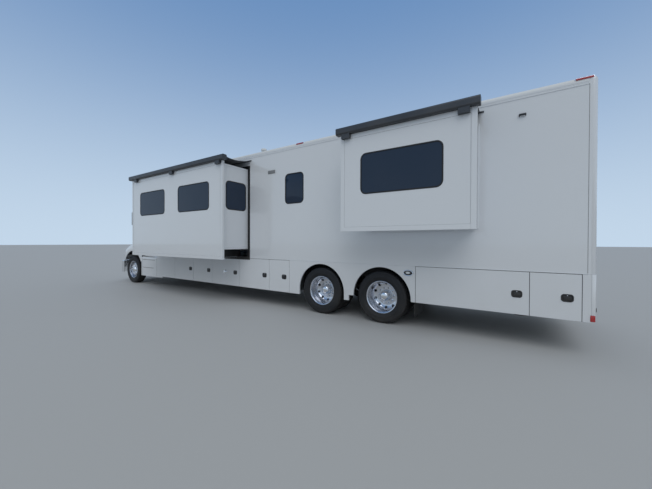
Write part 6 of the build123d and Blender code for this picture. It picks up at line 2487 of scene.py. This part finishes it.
@dataclass
class RearFace:
    """Fittings of the rear: blank plate with its lamps, camera, rub strip, tow socket and mud flaps."""

    layout: Layout
    plate_width: float = 0.31
    plate_height: float = 0.16
    plate_foot: float = 0.78
    strip_foot: float = 0.585
    bay_front: float = 2.326
    reflector_side: float = 1.09
    reflector_height: float = 0.76
    panels: tuple[tuple[float, float, float, float], ...] = ((0.86, 1.62, 3.24, 0.16),
                                                             (0.84, 1.17, 1.50, 0.09))

    def build(self) -> None:
        """Make every fitting."""
        face = self.layout.end(0, forward=False)
        half = self.plate_width / 2
        foot, top = self.plate_foot, self.plate_foot + self.plate_height
        frame_form, plate, strip = Form(), Form(), Form()
        section = ((0.012, -0.001), (0.012, 0.006), (0.006, 0.010), (-0.002, 0.007), (-0.002, -0.001))
        frame_form.rim(face, growing(-half, half, foot, top, 0.012), section)
        for side in (-0.07, 0.07):
            frame_form.panel(face, side - 0.03, side + 0.03, top + 0.018, top + 0.040, 0.006, -0.001, 0.020,
                             0.005)
        plate.panel(face, -half, half, foot, top, 0.010, -0.001, 0.003, 0.001)
        for u in (-0.11, 0.11):
            for v in (foot + 0.018, top - 0.018):
                plate.turned(face.point(u, v, 0.002), face.out, ((0.0, 0.006), (0.003, 0.005), (0.004, 0.0)),
                             12)
        plate.piece("rear_plate_blank", "coach", SEALANT)
        frame_form.panel(face, -0.045, 0.045, 3.365, 3.425, 0.012, -0.001, 0.045, 0.010)
        frame_form.piece("rear_plate_frame", "coach", BLACK_PLASTIC)
        extrude(strip, face, (
            (self.strip_foot, -0.001), (self.strip_foot, 0.008), (self.strip_foot + 0.012, 0.014),
            (self.strip_foot + 0.052, 0.014), (self.strip_foot + 0.064, 0.008),
            (self.strip_foot + 0.064, -0.001),
        ), -1.22, 1.22)
        strip.piece("rear_rub_strip", "coach", BLACK_PLASTIC, ease=0.002)
        self.reflectors(face)
        self.camera_lens(face)
        self.tow_socket(face)
        self.mud_flaps()
        self.mouldings(face)

    def reflectors(self, face: Face) -> None:
        """Red reflectors above the rub strip, one each side."""
        form = Form()
        for side in (-self.reflector_side, self.reflector_side):
            form.turned(face.point(side, self.reflector_height, -0.001), face.out,
                        stud(0.040, 0.009, 0.006, 0.036), 36)
        form.piece("rear_reflectors", "coach", RED_LENS)

    def camera_lens(self, face: Face) -> None:
        """Lens of the rear camera under its hood."""
        form = Form()
        form.turned(face.point(0, 3.392, 0.043), (face.out - UPWARD * 0.35).normalized(),
                    ((-0.01, 0.016), (0.006, 0.016), (0.008, 0.012), (0.010, 0.0)), 24)
        form.piece("rear_camera_lens", "coach", TINTED_GLASS)

    def tow_socket(self, face: Face) -> None:
        """Capped round trailer socket beside the receiver."""
        form = Form()
        centre = face.point(0.30, 0.52, -0.001)
        form.turned(centre, face.out,
                    ((0.0, 0.036), (0.018, 0.036), (0.020, 0.030), (0.026, 0.030), (0.028, 0.026),
                     (0.029, 0.0)), 32)
        form.slab(face, 0.262, 0.338, 0.551, 0.560, 0.0, 0.024)
        form.piece("trailer_socket", "coach", BLACK_PLASTIC)

    def mud_flaps(self) -> None:
        """Ribbed rubber flaps behind the rear wheels, hung on the bay boxes' front walls."""
        form, bars = Form(), Form()
        face = self.layout.end(self.bay_front, forward=True)
        for hand in Hand:
            inner, outer = hand.value * 0.66, hand.value * 1.24
            form.slab(face, inner, outer, 0.20, 0.60, 0.0, 0.008)
            for number in range(9):
                side = inner + (outer - inner) * (number + 0.5) / 9
                form.slab(face, side - 0.008, side + 0.008, 0.22, 0.52, 0.008, 0.013)
            bars.slab(face, inner, outer, 0.555, 0.60, 0.008, 0.014)
        form.piece("mud_flaps", "coach", RUBBER_SEAL, ease=0.002)
        bars.piece("mud_flap_bars", "coach", POLISHED)

    def mouldings(self, face: Face) -> None:
        """Raised panel edges of the moulded rear cap."""
        form = Form()
        section = ((0.0, -0.001), (0.004, 0.006), (0.018, 0.010), (0.034, 0.006), (0.040, -0.001))
        for half, foot, top, corner in self.panels:
            form.rim(face, growing(-half, half, foot, top, corner, 12), section)
        form.piece("rear_cap_mouldings", "coach", BODY_WHITE)


@dataclass
class RoofFittings:
    """Air conditioners' shrouds, vents, plumbing stacks and the antenna of the roof."""

    layout: Layout
    vents: Knots = ((3.75, 0.30), (6.95, -0.35), (7.45, 0.42))
    stacks: Knots = ((6.20, 0.98), (4.10, -0.95))
    antenna_place: tuple[float, float] = (10.15, 0.55)

    def build(self) -> None:
        """Make every fitting."""
        self.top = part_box("roof")[1].z
        self.shrouds()
        self.vent_lids()
        self.pipes()
        self.antenna()

    def shrouds(self) -> None:
        """Moulded shrouds with side and rear louvres, each on its dark gasket."""
        shells, louvres, gaskets = Form(), Form(), Form()
        for low, high in solids("air_units"):
            u0, u1 = self.layout.station(low.x), self.layout.station(high.x)
            half = (high.y - low.y) / 2
            rise = high.z - low.z
            rows = ((0.0, 0.012), (0.004, 0.04), (0.016, 0.12), (0.030, 0.19), (0.046, 0.25), (0.070, 0.292),
                    (0.105, 0.312), (0.160, 0.3195), (0.230, 0.32))
            rings = []
            for inset, height in rows:
                nose = inset + 0.22 * max(height / rise, 0.0) ** 3
                loop = rounded_loop(u0 + inset, u1 - nose, -half + inset, half - inset,
                                    max(0.11 - 0.2 * inset, 0.05), 10)
                rings.append([self.layout.place(u, v, low.z + height) for u, v in loop])
            shells.skin(rings)
            shells.lid(rings[-1])
            gaskets.panel(self.layout.deck(low.z), u0 + 0.012, u1 - 0.012, -half + 0.012, half - 0.012, 0.10,
                          -0.001, 0.016)
            self.louvres(louvres, u0, half, low.z)
        shells.piece("air_unit_shrouds", "coach", UNIT_SHELL, replaces=("air_units",), smooth=50.0)
        louvres.piece("air_unit_louvres", "coach", BLACK_PLASTIC)
        gaskets.piece("air_unit_gaskets", "coach", RUBBER_SEAL)

    def louvres(self, form: Form, start: float, half: float, foot: float) -> None:
        """Slats in a shroud's sides and rear."""
        for number in range(7):
            height = foot + 0.065 + 0.019 * number
            inset = eased(((0.04, 0.004), (0.12, 0.016), (0.19, 0.030), (0.25, 0.046)), height - foot)
            for side in (-1, 1):
                y = side * (half - inset)
                form.block(self.layout.place(start + 0.14, y - side * 0.006, height),
                           self.layout.place(start + 0.52, y + side * 0.003, height + 0.009))
            form.block(self.layout.place(start + inset - 0.003, -half + 0.16, height),
                       self.layout.place(start + inset + 0.006, half - 0.16, height + 0.009))

    def vent_lids(self) -> None:
        """Square roof vents: a flange with a domed, ribbed lid."""
        flanges, lids = Form(), Form()
        deck = self.layout.deck(self.top)
        for station, side in self.vents:
            u0, u1, v0, v1 = station - 0.20, station + 0.20, side - 0.20, side + 0.20
            flanges.panel(deck, u0 - 0.025, u1 + 0.025, v0 - 0.025, v1 + 0.025, 0.03, -0.001, 0.006)
            flanges.panel(deck, u0, u1, v0, v1, 0.03, 0.004, 0.05)
            rows = ((0.016, 0.040), (0.018, 0.058), (0.010, 0.074), (-0.03, 0.088), (-0.09, 0.096),
                    (-0.15, 0.099))
            lids.risen(deck, growing(u0, u1, v0, v1, 0.045, share=0.2), rows)
            for offset in (-0.08, 0.0, 0.08):
                lids.panel(deck, u0 + 0.05, u1 - 0.05, side + offset - 0.012, side + offset + 0.012, 0.01,
                           0.085, 0.103, 0.004)
        flanges.piece("roof_vent_flanges", "coach", ROOF_WHITE)
        lids.piece("roof_vent_lids", "coach", UNIT_SHELL)

    def pipes(self) -> None:
        """Capped plumbing vents with their flashings."""
        form = Form()
        for station, side in self.stacks:
            form.turned(self.layout.place(station, side, self.top - 0.001), UPWARD, (
                (0.0, 0.105), (0.006, 0.103), (0.016, 0.060), (0.045, 0.046), (0.115, 0.044), (0.115, 0.066),
                (0.122, 0.072), (0.155, 0.070), (0.170, 0.055), (0.176, 0.0)), 36)
        form.piece("roof_vent_stacks", "coach", UNIT_SHELL)

    def antenna(self) -> None:
        """Low domed antenna near the front of the roof."""
        form = Form()
        form.turned(self.layout.place(*self.antenna_place, self.top - 0.001), UPWARD, (
            (0.0, 0.235), (0.012, 0.235), (0.018, 0.215), (0.050, 0.210), (0.090, 0.190), (0.120, 0.150),
            (0.138, 0.090), (0.144, 0.0)), 48)
        form.piece("roof_antenna_dome", "coach", UNIT_SHELL)


@dataclass
class EntrySide:
    """Passenger's side: entry door fittings, service hatches and the awning's ends."""

    layout: Layout
    vents: tuple[tuple[float, ...], ...] = ((3.42, 3.98, 1.28, 1.58), (3.42, 3.98, 2.30, 2.60))
    hatch: tuple[float, ...] = (6.25, 6.61, 1.30, 1.66)
    vent_slats: int = 9
    hinge_heights: tuple[float, ...] = (0.80, 1.62, 2.42)
    rail_ends: tuple[float, float] = (1.16, 1.94)
    rail_gap: float = 0.11

    def __post_init__(self) -> None:
        """Read the door's place."""
        self.start, self.end, self.foot, self.top = frame_station_box("entry_door")
        self.face = self.layout.wall(Hand.RIGHT)

    def build(self) -> None:
        """Make every fitting."""
        self.door()
        self.grab_handle()
        self.hatches()
        self.porch_lamp()
        self.awning()

    def door(self) -> None:
        """Handle, lock, hinges and the edge moulding of the door."""
        trim, handle, lock, hinges = Form(), Form(), Form(), Form()
        u0, u1, v0, v1 = self.start, self.end, self.foot, self.top
        section = ((-0.024, -0.001), (-0.024, 0.004), (-0.014, 0.006), (-0.004, 0.004), (-0.004, -0.001))
        trim.rim(self.face, growing(u0, u1, v0, v1, 0.03), section)
        trim.piece("entry_door_trim", "entry_door", BODY_WHITE)
        latch_end = u0 + 0.085
        handle.panel(self.face, latch_end - 0.045, latch_end + 0.045, 1.40, 1.56, 0.014, -0.001, 0.006, 0.003)
        handle.piece("entry_handle_plate", "entry_door", BLACK_PLASTIC)
        grip = Form()
        grip.panel(self.face, latch_end - 0.016, latch_end + 0.016, 1.425, 1.525, 0.012, 0.016, 0.034, 0.008)
        for height in (1.435, 1.515):
            grip.slab(self.face, latch_end - 0.010, latch_end + 0.010, height - 0.008, height + 0.008, 0.004,
                      0.020)
        grip.piece("entry_handle_grip", "entry_door", CHROME)
        for height in (1.60, 1.37):
            lock.turned(self.face.point(latch_end, height, -0.001), self.face.out,
                        stud(0.020, 0.011, 0.008, 0.014), 28)
        lock.piece("entry_locks", "entry_door", CHROME)
        for height in self.hinge_heights:
            hinges.turned(self.face.point(u1 - 0.026, height - 0.05, 0.012), UPWARD,
                          ((0.0, 0.008), (0.10, 0.008)), 16)
            hinges.panel(self.face, u1 - 0.064, u1 - 0.018, height - 0.045, height + 0.045, 0.008, -0.001,
                         0.007)
        hinges.piece("entry_hinges", "entry_door", CHROME)
        surround = Form()
        gap = 0.008
        outer = ((gap, -0.004), (gap, 0.006), (gap + 0.010, 0.009), (gap + 0.030, 0.007),
                 (gap + 0.036, -0.001))
        surround.rim(self.face, growing(u0, u1, v0, v1, 0.03), outer)
        surround.piece("entry_surround", "coach", BODY_WHITE)

    def grab_handle(self) -> None:
        """Long folding grab handle ahead of the door."""
        form = Form()
        station = self.end + self.rail_gap
        path = [self.face.point(station, z, n) for z, n in (
            (1.16, 0.0), (1.165, 0.030), (1.19, 0.052), (1.24, 0.058), (1.55, 0.058), (1.86, 0.058),
            (1.91, 0.052), (1.935, 0.030), (1.94, 0.0))]
        form.tube(path, 0.014, 14)
        for height in self.rail_ends:
            form.panel(self.face, station - 0.028, station + 0.028, height - 0.04, height + 0.04, 0.02,
                       -0.001, 0.007)
        form.piece("entry_grab_handle", "coach", CHROME)

    def hatches(self) -> None:
        """Louvred appliance vents and small lockable service hatches on the wall."""
        frames, slats, locks = Form(), Form(), Form()
        for u0, u1, v0, v1 in (*self.vents, self.hatch):
            frames.panel(self.face, u0, u1, v0, v1, 0.02, -0.001, 0.006, 0.003)
            count = 0 if (u0, u1, v0, v1) == self.hatch else self.vent_slats
            for number in range(count):
                height = v0 + 0.030 + (v1 - v0 - 0.06) * number / count
                slats.slab(self.face, u0 + 0.03, u1 - 0.03, height, height + 0.013, 0.004, 0.010)
            for u in (u0 + 0.035, u1 - 0.035):
                locks.turned(self.face.point(u, v1 - 0.022, 0.004), self.face.out,
                             stud(0.009, 0.006, 0.005, 0.006), 20)
        frames.piece("service_hatches", "coach", BODY_WHITE)
        slats.piece("vent_slats", "coach", BODY_WHITE, ease=0.002)
        locks.piece("hatch_locks", "coach", CHROME)

    def porch_lamp(self) -> None:
        """Porch lamp above the grab handle and a capped outlet by the door."""
        base, lens = Form(), Form()
        u = self.end + self.rail_gap
        base.panel(self.face, u - 0.065, u + 0.065, 2.30, 2.40, 0.02, -0.001, 0.014, 0.004)
        base.panel(self.face, 9.16, 9.27, 1.30, 1.43, 0.012, -0.001, 0.018, 0.005)
        base.piece("porch_lamp_base", "coach", BODY_WHITE)
        lens.panel(self.face, u - 0.052, u + 0.052, 2.312, 2.388, 0.016, 0.010, 0.036, 0.012)
        lens.piece("porch_lamp_lens", "coach", PALE_LENS)

    def awning(self) -> None:
        """End plates, the lead rail and the rolled cloth's edge on the patio awning's case."""
        low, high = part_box("patio_awning")
        u0, u1, v0, v1 = frame_station_box("patio_awning")
        ends, rail, cloth = Form(), Form(), Form()
        depth = high.y - low.y
        for u, out in ((u0, -1), (u1, 1)):
            face = Face(self.layout.place(u, -self.layout.half, 0), -LEFTWARD, UPWARD, FORWARD * out)
            ends.panel(face, 0.002, depth - 0.002, v0 + 0.002, v1 - 0.002, 0.04, -0.001, 0.012, 0.005)
        ends.piece("awning_end_plates", "coach", CHARCOAL)
        front = self.layout.wall(Hand.RIGHT, depth)
        middle = (v0 + v1) / 2
        rail.slab(front, u0 + 0.01, u1 - 0.01, middle - 0.012, middle + 0.012, -0.004, 0.0025)
        for height in (middle - 0.034, middle + 0.030):
            cloth.slab(front, u0 + 0.012, u1 - 0.012, height, height + 0.003, -0.004, 0.0012)
        rail.piece("awning_lead_rail", "coach", AWNING_CASE, ease=0.002)
        cloth.piece("awning_case_joints", "coach", SEALANT)


@dataclass
class Underbody:
    """Air tanks and brake chambers beneath the vehicle."""

    layout: Layout
    tank_places: Knots = ((9.0, -0.26), (9.0, 0.26), (5.7, 0.24))
    tank_height: float = 0.90

    def build(self) -> None:
        """Make every fitting."""
        self.tanks()
        self.chambers()

    def tanks(self) -> None:
        """Air tanks hung between the frame rails."""
        form, straps = Form(), Form()
        for station, side in self.tank_places:
            base = self.layout.place(station, side, self.tank_height)
            form.turned(base, FORWARD, ((0.0, 0.0), (0.012, 0.06), (0.04, 0.098), (0.08, 0.11), (0.62, 0.11),
                                        (0.66, 0.098), (0.688, 0.06), (0.70, 0.0)), 36)
            for offset in (0.15, 0.55):
                straps.turned(base + FORWARD * offset, FORWARD,
                              ((-0.02, 0.109), (-0.02, 0.1125), (0.02, 0.1125), (0.02, 0.109)), 36,
                              closed=True)
        form.piece("air_tanks", "coach", CHASSIS_BLACK)
        straps.piece("air_tank_straps", "coach", BAY_LINER)

    def chambers(self) -> None:
        """Brake chambers on the drive axles."""
        form = Form()
        for number in (1, 2):
            start, end = frame_station_box(f"tyre_rear_{number}_left")[:2]
            for hand in Hand:
                centre = self.layout.place((start + end) / 2 - 0.16, hand.value * 0.33, 0.60)
                form.turned(centre, Vector((-1, 0, 0.12)).normalized(), (
                    (0.0, 0.055), (0.01, 0.075), (0.06, 0.085), (0.068, 0.092), (0.082, 0.092), (0.09, 0.085),
                    (0.17, 0.080), (0.20, 0.055), (0.205, 0.0)), 28)
        form.piece("brake_chambers", "coach", CHASSIS_BLACK)


@dataclass
class Studio:
    """Camera at the photograph's place, soft light, floor and backdrop."""

    eye: tuple[float, float, float] = (-5.946, 5.9715, 1.490)
    yaw: float = 33.04
    pitch: float = -0.49
    roll: float = 0.20
    lens: float = 16.10
    ambient: float = 0.46
    ambient_colour: Colour = (0.87, 0.95, 1.0)
    key_strength: float = 0.95
    horizon: Colour = (0.55, 0.68, 0.82)
    zenith: Colour = (0.13, 0.26, 0.50)
    fade: tuple[float, float] = (-0.05, 0.75)
    key_angle: float = 50.0
    key_ahead: tuple[float, float, float] = (0.45, -0.62, -0.95)
    floor_reach: float = 150.0
    floor_colour: Colour = (0.46, 0.47, 0.48)

    def build(self) -> None:
        """Make the whole set."""
        self.camera()
        self.world()
        self.lights()
        self.floor()
        bpy.context.scene.view_settings.view_transform = "Standard"

    def camera(self) -> None:
        """Wide-angle camera from the rear on the driver's side."""
        data = bpy.data.cameras.new("camera")
        data.lens = self.lens
        data.sensor_width = 36.0
        data.clip_start, data.clip_end = 0.05, 400.0
        camera = linked("camera", data)
        yaw, pitch = radians(self.yaw), radians(self.pitch)
        ahead = Vector((sin(yaw) * cos(pitch), -cos(yaw) * cos(pitch), sin(pitch)))
        camera.location = self.eye
        camera.rotation_mode = "QUATERNION"
        roll = Quaternion(UPWARD, radians(self.roll))
        camera.rotation_quaternion = ahead.to_track_quat("-Z", "Y") @ roll
        bpy.context.scene.camera = camera

    def world(self) -> None:
        """Even light from all round, and the backdrop's colour where a ray sees it."""
        world = bpy.data.worlds.new("studio")
        world.use_nodes = True
        bpy.context.scene.world = world
        world.node_tree.nodes.clear()
        wiring = Wiring(world.node_tree)
        light = wiring.add("Background", {"Color": self.ambient_colour, "Strength": self.ambient})
        seen = wiring.add("Background", {"Color": self.sky(wiring), "Strength": 1.0})
        rays = wiring.add("LightPath").outputs
        straight = wiring.math("MAXIMUM", rays["Is Camera Ray"], rays["Is Glossy Ray"])
        sees = wiring.math("MAXIMUM", straight, rays["Is Transmission Ray"])
        wiring.add("OutputWorld", {"Surface": wiring.either(sees, light.outputs[0], seen.outputs[0])})

    def sky(self, wiring: Wiring) -> bpy.types.NodeSocket:
        """Backdrop's colour by its height: pale at the horizon and deeper overhead."""
        place = wiring.add("TexCoord").outputs["Generated"]
        height = wiring.add("SeparateXYZ", {"Vector": place}).outputs["Z"]
        return wiring.blend(wiring.ramp(height, *self.fade), self.horizon, self.zenith)

    def lights(self) -> None:
        """One broad soft key from high on the driver's side."""
        data = bpy.data.lights.new("key", "SUN")
        data.energy = self.key_strength
        data.angle = radians(self.key_angle)
        key = linked("key", data)
        key.rotation_mode = "QUATERNION"
        key.rotation_quaternion = Vector(self.key_ahead).to_track_quat("-Z", "Y")

    def floor(self) -> None:
        """Plain pale floor that keeps the vehicle's shadow."""
        reach = self.floor_reach
        mesh = bpy.data.meshes.new("floor")
        corners = [(x * reach, y * reach, 0.0) for x, y in ((-1, -1), (1, -1), (1, 1), (-1, 1))]
        mesh.from_pydata(corners, [], [(0, 1, 2, 3)])
        floor = linked("studio_floor", mesh)
        finish = Finish("studio floor", None, self.floor_colour, 0.7, 0.03, 0.6, 0.0, 1.0, 8.0, 0.02)
        mesh.materials.append(finish.material())


def main() -> None:
    """Dress the frame, build every sub-assembly and set the studio."""
    logging.basicConfig(level=logging.INFO, format="%(message)s")
    CarriedNodes().dress()
    CoachTrim(LAYOUT).build()
    Panes(LAYOUT).build()
    BayDoors(LAYOUT).build()
    for body in ("slide_front", "slide_rear"):
        SlideRoom(LAYOUT, body).build()
    WheelSet(LAYOUT).build()
    for made in (HoodSkin, NoseCap, CabFittings, Bumper, EngineBay, CabInterior, VehicleLamps, RearFace,
                 RoofFittings, EntrySide, Underbody):
        made(LAYOUT).build()
    Studio().build()


if __name__ == "__main__":
    main()
